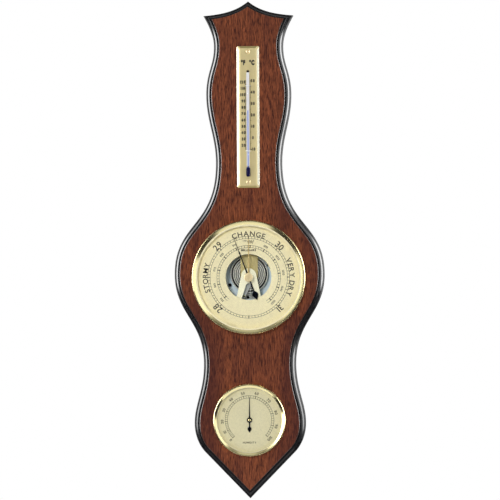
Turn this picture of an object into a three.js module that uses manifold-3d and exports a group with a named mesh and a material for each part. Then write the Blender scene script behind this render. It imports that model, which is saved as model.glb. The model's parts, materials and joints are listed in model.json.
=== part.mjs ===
// A wall barometer: a moulded mahogany board that carries a thermometer, an open-dial aneroid
// barometer and a hygrometer.
// Millimetres. +Z is up, -Y is the front, and the wall is the plane y = 0. The origin is the
// hanging notch. "Depth" is the distance from the wall, and "drop" is the distance below the
// peak of the board.

import * as THREE from "three";
import { mergeVertices } from "three/addons/utils/BufferGeometryUtils.js";
import Module from "manifold-3d";

// Clearances
const seatGap = 0.3; // between pieces that seat in or on each other
const headGap = 0.3; // between a screw head and what passes in front of it

// Board
const boardThickness = 17.2;
const veneerThickness = 0.8;
const hangDrop = 30;

// Half outline of the board: the half width at each station, and the span above it
const cornerHalf = 50.8;
const cornerSpan = 16.2;
const neckHalf = 39.1;
const neckSpan = 35.8;
const shoulderHalf = 48;
const shoulderSpan = 53.3;
const waistHalf = 37.4;
const waistSpan = 76.5;
const hipHalf = 84.6;
const hipSpan = 125.6;
const lowerWaistHalf = 52;
const lowerWaistSpan = 100.9;
const baseHalf = 62.8;
const baseSpan = 66.6;
const pointHalf = 50.5; // where the straight lower edges start
const pointSpan = 32.9;
const tipSpan = 52.2;
const peakHandle = [14, 11.5];
const cornerHandle = [30, 14.5];
const cornerReach = 24.1; // along the side that leaves the corner at 60 degrees
const neckReach = [4.5, 19.5]; // above and below each station, along the vertical
const shoulderReach = [24.9, 29.3];
const waistReach = [29.3, 72.4];
const hipReach = [59, 44.5];
const lowerWaistReach = [48.8, 29.7];
const baseReach = [21.6, 18.3];
const pointReach = 4.9;

// Moulded edge of the board
const sideHeight = 8.6;
const roundWidth = 6.1;
const roundHeight = 5.9;
const quirkWidth = 0.5;
const stepInset = 7.1;
const veneerInset = 7.6;
const topEdgeShare = 0.8; // the moulding is narrower along the two top edges

// Hanger
const hangerWidth = 45;
const hangerHeight = 8;
const hangerThickness = 1;
const hangerEar = 7.5;
const hangerStandOff = 1.6;
const hangerTeeth = 7;
const toothPitch = 3;
const toothDepth = 1.5;
const recessDepth = 3;
const recessMargin = 2.5;
const hangerScrewRadius = 1;
const hangerScrewHead = 2.1;
const hangerScrewHeadHeight = 0.9;
const hangerScrewLength = 9;

// Thermometer
const plateWidth = 25;
const plateHeight = 159;
const plateBelowShoulder = 25.5; // middle of the plate
const plateEdge = 0.4;
const plateThickness = 1.4;
const plateBevel = 3.2;
const pinMargin = 6.5; // from each end of the plate
const pinRadius = 1.1;
const pinHead = 2.7;
const pinHeadHeight = 1.5;
const pinLength = 9;
const tubeRadius = 2;
const tubeBore = 1.35;
const tubeInset = 28.5; // from the top of the plate
const bulbSpace = 2.7; // from the bulb to the lower pin's head
const bulbRadius = 2.7;
const bulbLength = 10.8;
const bulbWall = 0.35;
const columnInset = 43.7; // from the top of the tube
const columnRadius = 1.05;
const topHoleRise = 1.4; // above the end of the tube
const topHoleRadius = 1.7;
const topClipInset = 16.2; // from the top of the tube
const bottomClipRise = 29.2; // above the end of the bulb
const clipWidth = 1.4;
const clipThickness = 0.5;

// Barometer, outside
const barometerBelowHip = 3.2;
const bezelRadius = 64;
const bezelShoulder = 2.4;
const lipRadius = 56.6;
const lipThickness = 1.1;
const rimWall = 1.2; // of the ring between dial and glass
const caseRadius = 51;
const caseWall = 0.8;
const caseBackDepth = 2;
const caseClearance = 1;
const flangeThickness = 0.8;
const supportRingWall = 5;
const dialThickness = 0.6;
const dialOpening = 25.4;
const glassThickness = 1.8;
const handSpace = 3.4; // from the dial to the glass
const ventRadius = 1.6;

// Barometer, movement
const movementPlateRadius = 47;
const movementPlateThickness = 1.6;
const movementScrewPlaces = [
  [-22, -9],
  [21.6, 13.6],
  [0, -40],
];
const movementScrewRadius = 0.9;
const movementScrewHead = 2;
const movementScrewHeadHeight = 1.2;
const capsuleRise = 3.5;
const capsuleRadius = 21.4;
const capsuleStudRadius = 3;
const capsuleStudHeight = 1.2;
const capsuleHalf = 2.3;
const capsuleSkin = 0.5;
const capsuleTravelGap = 0.9;
const capsuleRings = 4;
const capsuleRingHeight = 0.35;
const capsulePostRadius = 1.5;
const capsulePinRadius = 0.5;
const capsulePinLength = 7;
const leafLift = 0.9;
const leafWidth = 19.4;
const leafThickness = 1;
const leafEnd = -3;
const leafTop = 38;
const bracketFoot = 1.6;
const bracketFootSpan = [27, 41];
const bracketWeb = 3.5;
const bracketFlange = 1.8;
const bracketFlangeLength = 8.5;
const springScrewSpread = 5.5;
const springScrewHeight = 35.6;
const springScrewRadius = 0.9;
const springScrewHead = 1.9;
const springScrewHeadHeight = 1.2;
const springScrewLength = 3.2;
const adjusterHeight = 30.6;
const adjusterRadius = 2;
const adjusterHead = 3.2;
const adjusterHeadHeight = 1;
const adjusterSlot = 0.8;
const adjusterEnd = 1.4; // beyond the bracket's foot
const leverThickness = 1;
const leverRoot = 0.8;
const leverRootHalf = 6;
const leverNeckHalf = 3.2;
const leverEndRadius = 1.7;
const leverRivetRadius = 1.1;
const leverRivetHeight = 0.4;
const leverRivetSpread = 4;
const linkX = -5.6;
const linkRadius = 0.45;
const linkHead = 1.2;
const linkHeadHeight = 0.6;
const rockerHeight = -19.6;
const rockerDepth = 9.2;
const rockerRadius = 0.7;
const rockerSpan = [-9.1, 4.7];
const rockerPivot = 0.4;
const crankLength = 1.8;
const crankThickness = 1;
const crankEye = 0.8;
const chainArmWidth = 1;
const earThickness = 1;
const earHeight = 1.6; // beyond the rocker's axis
const earWidth = 3;
const rockerBaseThickness = 1;
const rockerBaseSpan = [-24.6, -18.5];
const rockerScrewPlace = [-1.6, -22.9];
const rockerScrewRadius = 0.7;
const rockerScrewHead = 1.5;
const rockerScrewHeadHeight = 1;
const cockSpace = 1.6; // from the lever arm to the lower cock
const cockThickness = 1;
const drumRadius = 0.9;
const drumLength = 1.4;
const drumFlange = 2;
const drumFlangeThickness = 0.3;
const drumSpace = 0.6; // from the lower cock to the drum
const chainWidth = 0.4;
const hairspringSpace = 0.4;
const hairspringWidth = 0.5;
const hairspringThickness = 0.2;
const hairspringTurns = 3.5;
const hairspringRadii = [1.7, 5.6];
const hairspringStudRadius = 0.6;
const bridgeSpace = 0.5; // from the hairspring to the bridge
const bridgeThickness = 1.1;
const bridgeArch = 10;
const bridgeHalf = 8.6;
const bridgeFootHalf = 15.4;
const bridgeFoot = -32;
const windowTop = -6.8;
const windowHalf = 3.6;
const windowFootHalf = 9.1;
const windowFoot = -26.6;
const pillarPlace = [12, -28.8];
const pillarRadius = 2.4;
const pillarBore = 4;
const bridgeScrewRadius = 1;
const bridgeScrewHead = 2;
const bridgeScrewHeadHeight = 0.7;
const arborRadius = 0.7;
const arborFrontRadius = 0.6;
const arborPivot = 0.4; // behind the lower cock

// Barometer, hands
const restAngle = -20.5;
const pointerSpace = 0.8;
const pointerThickness = 0.4;
const pointerLength = 49;
const pointerTail = 27.4;
const pointerHub = 3.4;
const pointerHubHeight = 0.8;
const pointerRootHalf = 0.95;
const pointerTipHalf = 0.2;
const tailHalf = 1;
const finStart = 17.5;
const finHalf = 3.4;
const setHandSpace = 0.4;
const setHandThickness = 0.4;
const setHandLength = 43;
const setHandRootHalf = 1;
const setHandTipHalf = 0.25;
const setHandHub = 2.4;
const setShaftRadius = 1.2;
const washerThickness = 0.5;
const washerRadius = 4;
const knobRadius = 5;
const knobHeight = 4.4;
const knobDome = 1.1;

// Hygrometer
const hygroAboveBase = 4.1;
const hygroBezelRadius = 41;
const hygroBezelShoulder = 1.8;
const hygroLipRadius = 36;
const hygroLipThickness = 1;
const hygroCaseRadius = 33;
const hygroCaseBackDepth = 5;
const hygroDialThickness = 0.6;
const hygroGlassThickness = 1.5;
const hygroHandSpace = 3;
const hygroVentRadius = 2;
const hygroVentPlace = 22;
const hygroHandDepth = 1; // from the dial to the hand
const hygroHandThickness = 0.4;
const hygroHandLength = 26;
const hygroHandRootHalf = 0.7;
const hygroHandTipHalf = 0.2;
const hygroTail = 14;
const hygroSpadeHalf = 2.15;
const hygroSpadePlace = 10.3;
const hygroHub = 3;
const hygroHubHeight = 0.7;
const hygroBoss = 1.4;
const hygroBossFront = 0.5; // in front of the hand's hub
const hygroArborRadius = 0.6;
const hygroFrameSpace = 1;
const hygroFrameThickness = 1;
const hygroFrameHalf = 15.4;
const hygroFrameHeight = 8;
const hygroPillarPlace = 13;
const hygroPillarRadius = 1.6;
const coilSpace = 2.2; // from the frame to the coil
const coilWidth = 3.5;
const coilThickness = 0.3;
const coilTurns = 4;
const coilRadii = [2.2, 8.6];
const coilPostRadius = 0.8;

// Facets round a turned piece
const wideFacets = 52;
const hygroFacets = 44;
const middleFacets = 36;
const knobFacets = 24;
const smallFacets = 12;
const pinFacets = 8;
const spiralFacets = 16; // in each turn

// Depths and places that follow from the sizes
const neckDrop = cornerSpan + neckSpan;
const shoulderDrop = neckDrop + shoulderSpan;
const waistDrop = shoulderDrop + waistSpan;
const hipDrop = waistDrop + hipSpan;
const lowerWaistDrop = hipDrop + lowerWaistSpan;
const baseDrop = lowerWaistDrop + baseSpan;
const pointDrop = baseDrop + pointSpan;
const boardHeight = pointDrop + tipSpan;
const barometerDrop = hipDrop + barometerBelowHip;
const hygroDrop = baseDrop - hygroAboveBase;
const plateDrop = shoulderDrop + plateBelowShoulder;
const pinSpan = plateHeight - 2 * pinMargin;
const tubeTopDrop = plateDrop - plateHeight / 2 + tubeInset;
const bulbBottomDrop = plateDrop + pinSpan / 2 - pinHead - bulbSpace;
const columnTopDrop = tubeTopDrop + columnInset;
const topHoleDrop = tubeTopDrop - topHoleRise;
const clipDrops = [tubeTopDrop + topClipInset, bulbBottomDrop - bottomClipRise];
const faceDepth = boardThickness + veneerThickness;
const caseFloorFront = caseBackDepth + caseWall;
const plateFront = caseFloorFront + movementPlateThickness;
const capsuleBack = plateFront + capsuleStudHeight;
const capsuleSplit = capsuleBack + capsuleHalf;
const capsuleUpperBack = capsuleSplit + capsuleTravelGap;
const capsuleFront = capsuleUpperBack + capsuleHalf;
const leafBack = capsuleFront + leafLift;
const leafFront = leafBack + leafThickness;
const leverFront = leafFront + leverThickness;
const cockBack = leverFront + cockSpace;
const cockFront = cockBack + cockThickness;
const drumBack = cockFront + drumSpace;
const drumFront = drumBack + drumLength;
const chainDepth = (drumBack + drumFront) / 2;
const hairspringBack = drumFront + hairspringSpace;
const hairspringFront = hairspringBack + hairspringWidth;
const bridgeBack = hairspringFront + bridgeSpace;
const bridgeFront = bridgeBack + bridgeThickness;
const dialBack = bridgeFront + bridgeScrewHeadHeight + headGap;
const dialFront = dialBack + dialThickness;
const pointerBack = dialFront + pointerSpace;
const pointerFront = pointerBack + pointerThickness;
const pointerHubFront = pointerBack + pointerHubHeight;
const setHandBack = pointerHubFront + setHandSpace;
const setHandFront = setHandBack + setHandThickness;
const glassBack = dialFront + handSpace;
const glassFront = glassBack + glassThickness;
const bezelFront = glassFront + seatGap + lipThickness;
const washerFront = glassFront + washerThickness;
const knobBack = washerFront + seatGap;
const knobFront = knobBack + knobHeight;
const chainRadius = drumRadius + seatGap + chainWidth / 2;
const flangeFront = faceDepth + flangeThickness;
const glassRadius = lipRadius + rimWall;
const bezelBore = glassRadius + seatGap;
const dialRadius = glassRadius - seatGap;
const leverEnd = rockerHeight - crankLength;
const plateAxisDepth = faceDepth + plateThickness;
const tubeDepth = plateAxisDepth + bulbRadius;
const hygroDialFront = flangeFront + hygroDialThickness;
const hygroGlassBack = hygroDialFront + hygroHandSpace;
const hygroGlassFront = hygroGlassBack + hygroGlassThickness;
const hygroBezelFront = hygroGlassFront + seatGap + hygroLipThickness;
const hygroGlassRadius = hygroLipRadius + rimWall;
const hygroBore = hygroGlassRadius + seatGap;
const hygroDialRadius = hygroGlassRadius - seatGap;
const hygroHandBack = hygroDialFront + hygroHandDepth;
const hygroHubFront = hygroHandBack + hygroHubHeight;
const hygroFrameBack = hygroCaseBackDepth + caseWall + hygroFrameSpace;
const hygroFrameFront = hygroFrameBack + hygroFrameThickness;
const coilBack = hygroFrameFront + coilSpace;
const coilFront = coilBack + coilWidth;
const heightOf = (drop) => hangDrop - drop;

const wasm = await Module();
wasm.setup();

// Solids: closed meshes joined and cut by boolean operations
function solidOf(geometry) {
  const bare = geometry.clone();
  bare.deleteAttribute("normal");
  bare.deleteAttribute("uv");
  const merged = mergeVertices(bare, 1e-4);
  const mesh = new wasm.Mesh({
    numProp: 3,
    vertProperties: merged.attributes.position.array,
    triVerts: new Uint32Array(merged.index.array),
  });
  return new wasm.Manifold(mesh);
}

function geometryOf(solid) {
  const mesh = solid.getMesh();
  const geometry = new THREE.BufferGeometry();
  geometry.setAttribute("position", new THREE.BufferAttribute(mesh.vertProperties, mesh.numProp));
  geometry.setIndex(new THREE.BufferAttribute(mesh.triVerts, 1));
  geometry.computeVertexNormals();
  return geometry;
}

function cut(body, ...tools) {
  return geometryOf(tools.reduce((left, tool) => left.subtract(solidOf(tool)), solidOf(body)));
}

function join(body, ...others) {
  return geometryOf(others.reduce((whole, other) => whole.add(solidOf(other)), solidOf(body)));
}

// A piece turned about the depth axis from a profile of [radius, depth] points
function turned(profile, facets) {
  const points = profile.map(([radius, depth]) => new THREE.Vector2(radius, -depth));
  const area = THREE.ShapeUtils.area(points);
  if (area < 0) points.reverse();
  if (Math.min(points[0].x, points[points.length - 1].x) > 0) points.push(points[0].clone());
  return new THREE.LatheGeometry(points, facets);
}

// The same about the vertical axis, from [radius, height] points
function turnedUpright(profile, facets) {
  const lying = profile.map(([radius, height]) => [radius, -height]);
  return turned(lying, facets).rotateX(Math.PI / 2);
}

function disc(radius, back, front, facets = pinFacets) {
  return turned([[0, back], [radius, back], [radius, front], [0, front]], facets);
}

function rod(x, z, radius, back, front, facets = pinFacets) {
  return disc(radius, back, front, facets).translate(x, 0, z);
}

function ring(inner, outer, back, front, facets) {
  return turned([[inner, back], [outer, back], [outer, front], [inner, front]], facets);
}

// A pin along X at a given height and depth
function crossPin(radius, fromX, toX, height, depth) {
  const half = (toX - fromX) / 2;
  const pin = disc(radius, -half, half).rotateZ(Math.PI / 2);
  return pin.translate(fromX + half, -depth, height);
}

function block(fromX, toX, back, front, fromZ, toZ) {
  const box = new THREE.BoxGeometry(toX - fromX, front - back, toZ - fromZ);
  return box.translate((fromX + toX) / 2, -(back + front) / 2, (fromZ + toZ) / 2);
}

// A flat piece cut from an outline in X and Z, between two depths
function plate(shape, back, front, curveSegments = 8) {
  const options = { depth: front - back, bevelEnabled: false, curveSegments };
  return new THREE.ExtrudeGeometry(shape, options).rotateX(Math.PI / 2).translate(0, -back, 0);
}

// A bar along X from an outline in depth and Z
function barAlongX(shape, fromX, toX) {
  const options = { depth: toX - fromX, bevelEnabled: false, curveSegments: 6 };
  const axes = new THREE.Matrix4().makeBasis(
    new THREE.Vector3(0, -1, 0),
    new THREE.Vector3(0, 0, 1),
    new THREE.Vector3(-1, 0, 0),
  );
  return new THREE.ExtrudeGeometry(shape, options).applyMatrix4(axes).translate(toX, 0, 0);
}

// A bar along Z from an outline in X and depth
function barAlongZ(shape, fromZ, toZ) {
  const options = { depth: toZ - fromZ, bevelEnabled: false, curveSegments: 6 };
  return new THREE.ExtrudeGeometry(shape, options).rotateX(Math.PI).translate(0, 0, toZ);
}

function polygon(points) {
  return new THREE.Shape(points.map(([u, v]) => new THREE.Vector2(u, v)));
}

// A flat spiral band between two depths, whose outer end lies on +X
function spiral([innerRadius, outerRadius], turns, thickness, back, front) {
  const steps = Math.round(turns * spiralFacets);
  const side = (offset) =>
    Array.from({ length: steps + 1 }, (_, step) => {
      const share = step / steps;
      const angle = (share - 1) * turns * 2 * Math.PI;
      const radius = innerRadius + share * (outerRadius - innerRadius) + offset;
      return new THREE.Vector2(radius * Math.cos(angle), radius * Math.sin(angle));
    });
  const outer = side(thickness / 2);
  const inner = side(-thickness / 2);
  const gaps = outer.slice(0, -spiralFacets).map((p, i) => p.distanceTo(inner[i + spiralFacets]));
  console.log(`least gap between the turns of a spiral: ${Math.min(...gaps).toFixed(2)} mm`);
  return plate(new THREE.Shape([...outer, ...inner.reverse()]), back, front);
}

// A closed skin over rings of points that all have the same count, with flat ends
function loft(rings) {
  const count = rings[0].length;
  const positions = rings.flat().flatMap((point) => [point.x, point.y, point.z]);
  const index = [];
  for (let level = 0; level + 1 < rings.length; level += 1) {
    for (let i = 0; i < count; i += 1) {
      const next = (i + 1) % count;
      const low = level * count;
      const high = low + count;
      index.push(low + i, high + next, low + next);
      index.push(low + i, high + i, high + next);
    }
  }
  const cap = (start, facing) => {
    const flat = rings[start / count].map((point) => new THREE.Vector2(point.x, point.z));
    for (const triangle of THREE.ShapeUtils.triangulateShape(flat, [])) {
      const turn = Math.sign(THREE.ShapeUtils.area(triangle.map((i) => flat[i])));
      const [a, b, c] = turn === facing ? triangle : [...triangle].reverse();
      index.push(start + a, start + b, start + c);
    }
  };
  cap(0, -1);
  cap((rings.length - 1) * count, 1);
  const geometry = new THREE.BufferGeometry();
  geometry.setAttribute("position", new THREE.Float32BufferAttribute(positions, 3));
  geometry.setIndex(index);
  geometry.computeVertexNormals();
  return geometry;
}

// The two edges of the board's right half, in half width and drop: the top edge from the peak
// to the corner, and the side from the corner to the lower point
const at = ([halfWidth, drop]) => new THREE.Vector2(halfWidth, drop);
const above = ([halfWidth, drop], reach) => new THREE.Vector2(halfWidth, drop - reach[0]);
const below = ([halfWidth, drop], reach) => new THREE.Vector2(halfWidth, drop + reach[1]);

const corner = [cornerHalf, cornerSpan];
const neck = [neckHalf, neckDrop];
const shoulder = [shoulderHalf, shoulderDrop];
const waist = [waistHalf, waistDrop];
const hip = [hipHalf, hipDrop];
const lowerWaist = [lowerWaistHalf, lowerWaistDrop];
const base = [baseHalf, baseDrop];
const pointStart = [pointHalf, pointDrop];

function topEdge() {
  return new THREE.CubicBezierCurve(at([0, 0]), at(peakHandle), at(cornerHandle), at(corner));
}

function sideEdge() {
  const tip = at([0, boardHeight]);
  const cornerWay = new THREE.Vector2(-Math.cos(Math.PI / 3), Math.sin(Math.PI / 3));
  const leaving = at(corner).addScaledVector(cornerWay, cornerReach);
  const pointWay = tip.clone().sub(at(pointStart)).normalize();
  const arriving = at(pointStart).addScaledVector(pointWay, -pointReach);
  const spans = [
    [at(corner), leaving, above(neck, neckReach), at(neck)],
    [at(neck), below(neck, neckReach), above(shoulder, shoulderReach), at(shoulder)],
    [at(shoulder), below(shoulder, shoulderReach), above(waist, waistReach), at(waist)],
    [at(waist), below(waist, waistReach), above(hip, hipReach), at(hip)],
    [at(hip), below(hip, hipReach), above(lowerWaist, lowerWaistReach), at(lowerWaist)],
    [at(lowerWaist), below(lowerWaist, lowerWaistReach), above(base, baseReach), at(base)],
    [at(base), below(base, baseReach), arriving, at(pointStart)],
  ];
  const path = new THREE.CurvePath();
  spans.forEach((points) => path.add(new THREE.CubicBezierCurve(...points)));
  path.add(new THREE.LineCurve(at(pointStart), tip));
  return path;
}

const boardTop = topEdge();
const boardSide = sideEdge();
const topSteps = 8;
const spanSteps = [6, 5, 6, 12, 12, 7, 4, 1]; // of the side, with its straight end in one step

// The point that lies inside an edge by the inset, square to the edge
function insetPoint(edge, share, inset) {
  const along = edge.getTangent(share);
  return edge.getPoint(share).add(new THREE.Vector2(-along.y, along.x).multiplyScalar(inset));
}

function distanceTo(samples, point) {
  return Math.min(...samples.map((sample) => sample.distanceTo(point)));
}

// The share between low and high at which a falling or rising measure passes zero
function crossing(measure, low, high) {
  const rising = measure(high) > measure(low);
  for (let i = 0; i < 40; i += 1) {
    const middle = (low + high) / 2;
    if (measure(middle) > 0 === rising) high = middle;
    else low = middle;
  }
  return (low + high) / 2;
}

const topSamples = boardTop.getPoints(400);
const sideSamples = Array.from({ length: 1201 }, (_, i) => boardSide.getPoint(i / 4800));

// The shares of the side at which a ring has its points, from a start to an end
function sideShares(start, end) {
  const lengths = boardSide.getCurveLengths();
  const total = lengths[lengths.length - 1];
  const spanEnds = [...lengths.slice(0, -1).map((length) => length / total), end];
  const spanStarts = [start, ...spanEnds.slice(0, -1)];
  return spanEnds.flatMap((high, span) => {
    const steps = spanSteps[span];
    const low = spanStarts[span];
    return Array.from({ length: steps }, (_, i) => low + ((high - low) * (i + 1)) / steps);
  });
}

// One ring of the board's outline at an inset and a depth, clockwise from the front
function outlineRing(inset, depth) {
  const topInset = inset * topEdgeShare;
  const top = (share) => insetPoint(boardTop, share, topInset);
  const side = (share) => insetPoint(boardSide, share, inset);
  const sharp = inset === 0;
  const peak = sharp ? 0 : crossing((share) => top(share).x, 0, 0.5);
  const topEnd = sharp ? 1 : crossing((s) => distanceTo(sideSamples, top(s)) - inset, 0.5, 1);
  const sideStart = sharp ? 0 : crossing((s) => distanceTo(topSamples, side(s)) - topInset, 0, 0.1);
  const tip = sharp ? 1 : crossing((share) => side(share).x, 0.9, 1);
  const right = [];
  for (let i = 0; i <= topSteps; i += 1) {
    right.push(top(peak + ((topEnd - peak) * i) / topSteps));
  }
  right.push(...sideShares(sideStart, tip).map(side));
  right[0].x = 0;
  right[right.length - 1].x = 0;
  const left = right.slice(1, -1).reverse();
  const place = (point, sign) => new THREE.Vector3(sign * point.x, -depth, heightOf(point.y));
  return [...right.map((point) => place(point, 1)), ...left.map((point) => place(point, -1))];
}

// Board and veneer
const barometerHole = caseRadius + caseClearance;
const hygroHole = hygroCaseRadius + caseClearance;

function instrumentHoles(back, front) {
  return [
    rod(0, heightOf(barometerDrop), barometerHole, back, front, wideFacets),
    rod(0, heightOf(hygroDrop), hygroHole, back, front, hygroFacets),
  ];
}

function pinHoles() {
  return [pinSpan / 2, -pinSpan / 2].map((offset) => {
    const height = heightOf(plateDrop) + offset;
    return rod(0, height, pinRadius + seatGap, faceDepth - pinLength, faceDepth + plateThickness);
  });
}

function mouldedBoard() {
  const roundSteps = 4;
  const rings = [outlineRing(0, 0)];
  for (let i = 0; i <= roundSteps; i += 1) {
    const angle = (i / roundSteps) * (Math.PI / 2);
    const inset = roundWidth * (1 - Math.cos(angle));
    rings.push(outlineRing(inset, sideHeight + roundHeight * Math.sin(angle)));
  }
  rings.push(outlineRing(roundWidth + quirkWidth, sideHeight + roundHeight));
  rings.push(outlineRing(stepInset, boardThickness));
  const halfRecess = hangerWidth / 2 + recessMargin;
  const recess = block(
    -halfRecess, halfRecess, -1, recessDepth,
    -toothDepth - recessMargin, hangerHeight + recessMargin,
  );
  const screwHoles = hangerScrewPlaces().map((x) => {
    const end = recessDepth + hangerScrewLength;
    return rod(x, hangerHeight / 2, hangerScrewRadius + seatGap, 0, end);
  });
  return cut(
    loft(rings), ...instrumentHoles(-1, faceDepth + 1), recess, ...screwHoles, ...pinHoles(),
  );
}

function veneerFace() {
  const rings = [boardThickness, faceDepth].map((depth) => outlineRing(veneerInset, depth));
  return cut(loft(rings), ...instrumentHoles(0, faceDepth + 1), ...pinHoles());
}

// Hanger, let into the back of the board
function hangerScrewPlaces() {
  const place = hangerWidth / 2 - hangerEar / 2;
  return [-place, place];
}

function hangerBar() {
  const half = hangerWidth / 2;
  const inner = half - hangerEar;
  const earBack = recessDepth - hangerThickness;
  const bridgeTop = earBack - hangerStandOff;
  const right = [
    [half, earBack], [half, recessDepth], [inner, recessDepth],
    [inner - hangerStandOff, bridgeTop + hangerThickness],
  ];
  const rightBack = [[inner - hangerStandOff, bridgeTop], [inner, earBack]];
  const mirrored = (points) => points.map(([x, depth]) => [-x, depth]).reverse();
  const outline = [...right, ...mirrored(right), ...mirrored(rightBack), ...rightBack];
  const bar = barAlongZ(polygon(outline), -toothDepth, hangerHeight);
  const ends = [-1, 1].map((side) => {
    const reach = [side * inner, side * (half + 1)].sort((a, b) => a - b);
    return block(...reach, 0, recessDepth + 1, -toothDepth - 1, 0);
  });
  const teeth = Array.from({ length: hangerTeeth }, (_, i) => {
    const middle = (i - (hangerTeeth - 1) / 2) * toothPitch;
    const notch = polygon([
      [middle - toothPitch / 2, -toothDepth], [middle, 0], [middle + toothPitch / 2, -toothDepth],
      [middle, -toothDepth - 1],
    ]);
    return plate(notch, -1, recessDepth);
  });
  const holes = hangerScrewPlaces().map((x) =>
    rod(x, hangerHeight / 2, hangerScrewRadius + seatGap, 0, recessDepth + 1),
  );
  return cut(bar, ...ends, ...teeth, ...holes);
}

function hangerScrew(x) {
  const headFront = recessDepth - hangerThickness;
  const headBack = headFront - hangerScrewHeadHeight;
  const end = recessDepth + hangerScrewLength - seatGap;
  const profile = [
    [0, headBack], [hangerScrewHead * 0.6, headBack + 0.1], [hangerScrewHead, headFront],
    [hangerScrewRadius, headFront], [hangerScrewRadius, end - 1], [0, end],
  ];
  return turned(profile, pinFacets).translate(x, 0, hangerHeight / 2);
}

// Thermometer
function rectangleRing(halfWidth, halfHeight, depth, height) {
  const corners = [[1, 1], [1, -1], [-1, -1], [-1, 1]];
  return corners.map(([x, z]) => new THREE.Vector3(x * halfWidth, -depth, height + z * halfHeight));
}

function thermometerPlate() {
  const height = heightOf(plateDrop);
  const halves = [plateWidth / 2, plateHeight / 2];
  const inner = halves.map((half) => half - plateBevel);
  const rings = [
    rectangleRing(...halves, faceDepth, height),
    rectangleRing(...halves, faceDepth + plateEdge, height),
    rectangleRing(...inner, faceDepth + plateThickness, height),
  ];
  const back = faceDepth - 1;
  const front = faceDepth + plateThickness + 1;
  const pins = [pinSpan / 2, -pinSpan / 2].map((offset) =>
    rod(0, height + offset, pinRadius + seatGap, back, front),
  );
  const hole = rod(0, heightOf(topHoleDrop), topHoleRadius, back, front, smallFacets);
  return cut(loft(rings), ...pins, hole);
}

function thermometerTube() {
  const top = heightOf(tubeTopDrop);
  const bottom = heightOf(bulbBottomDrop);
  const bulbTop = bottom + bulbLength;
  const boreRadius = bulbRadius - bulbWall;
  const profile = [
    [0, bottom], [bulbRadius * 0.7, bottom + bulbRadius * 0.3], [bulbRadius, bottom + bulbRadius],
    [bulbRadius, bulbTop - bulbRadius], [tubeRadius, bulbTop], [tubeRadius, top],
    [tubeBore, top], [tubeBore, bulbTop], [boreRadius, bulbTop - bulbRadius],
    [boreRadius, bottom + bulbRadius], [boreRadius * 0.7, bottom + bulbRadius * 0.3 + bulbWall],
    [0, bottom + bulbWall],
  ];
  return turnedUpright(profile, smallFacets).translate(0, -tubeDepth, 0);
}

function spiritColumn() {
  const bottom = heightOf(bulbBottomDrop) + bulbWall + seatGap;
  const bulbTop = heightOf(bulbBottomDrop) + bulbLength;
  const radius = bulbRadius - bulbWall - seatGap;
  const profile = [
    [0, bottom], [radius * 0.7, bottom + radius * 0.3], [radius, bottom + radius],
    [radius, bulbTop - bulbRadius - seatGap], [columnRadius, bulbTop - seatGap],
    [columnRadius, heightOf(columnTopDrop)], [0, heightOf(columnTopDrop)],
  ];
  return turnedUpright(profile, pinFacets).translate(0, -tubeDepth, 0);
}

function tubeClip(drop) {
  const inner = tubeRadius + seatGap;
  const outer = inner + clipThickness;
  const shape = new THREE.Shape();
  shape.moveTo(outer, plateAxisDepth);
  shape.lineTo(outer, tubeDepth);
  shape.absarc(0, tubeDepth, outer, 0, Math.PI, false);
  shape.lineTo(-outer, plateAxisDepth);
  shape.lineTo(-inner, plateAxisDepth);
  shape.lineTo(-inner, tubeDepth);
  shape.absarc(0, tubeDepth, inner, Math.PI, 0, true);
  shape.lineTo(inner, plateAxisDepth);
  const middle = heightOf(drop);
  return barAlongZ(shape, middle - clipWidth / 2, middle + clipWidth / 2);
}

function platePin(offset) {
  const front = faceDepth + plateThickness;
  const profile = [
    [0, front + pinHeadHeight], [pinHead * 0.6, front + pinHeadHeight * 0.8], [pinHead, front],
    [pinRadius, front], [pinRadius, faceDepth - pinLength + seatGap + 1],
    [0, faceDepth - pinLength + seatGap],
  ];
  return turned(profile, pinFacets).translate(0, 0, heightOf(plateDrop) + offset);
}

// Bezels: a rounded brass ring that holds the glass under its lip
function bezel(outer, bore, lip, back, front, shoulder, lipBack, facets) {
  const crestRadius = lip + (outer - lip) * 0.42;
  const steps = 5;
  const profile = [[bore, back], [outer, back], [outer, back + shoulder]];
  for (let i = 1; i <= steps; i += 1) {
    const angle = (i / steps) * (Math.PI / 2);
    const radius = crestRadius + (outer - crestRadius) * Math.cos(angle);
    profile.push([radius, back + shoulder + (front - back - shoulder) * Math.sin(angle)]);
  }
  const drop = (front - lipBack) * 0.3;
  profile.push([lip + (crestRadius - lip) * 0.3, front - drop * 0.4]);
  profile.push([lip, front - drop], [lip, lipBack], [bore, lipBack]);
  return turned(profile, facets);
}

function cup(radius, flange, back, face, facets) {
  const floor = back + caseWall;
  const inner = radius - caseWall;
  const front = face + flangeThickness;
  return turned(
    [
      [0, back], [radius, back], [radius, face], [flange, face], [flange, front],
      [inner, front], [inner, floor], [0, floor],
    ],
    facets,
  );
}

// Barometer case, dial and glass
function barometerCase() {
  const back = caseBackDepth - 1;
  const front = caseFloorFront + 1;
  const screws = movementScrewPlaces.map(([x, z]) =>
    rod(x, z, movementScrewRadius + seatGap, back, front),
  );
  const adjuster = rod(0, adjusterHeight, adjusterRadius + seatGap, back, front, smallFacets);
  const vent = rod(movementPlateRadius / 2, movementPlateRadius / 2, ventRadius, back, front);
  const shell = cup(caseRadius, dialRadius, caseBackDepth, faceDepth, wideFacets);
  return cut(shell, ...screws, adjuster, vent);
}

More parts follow.
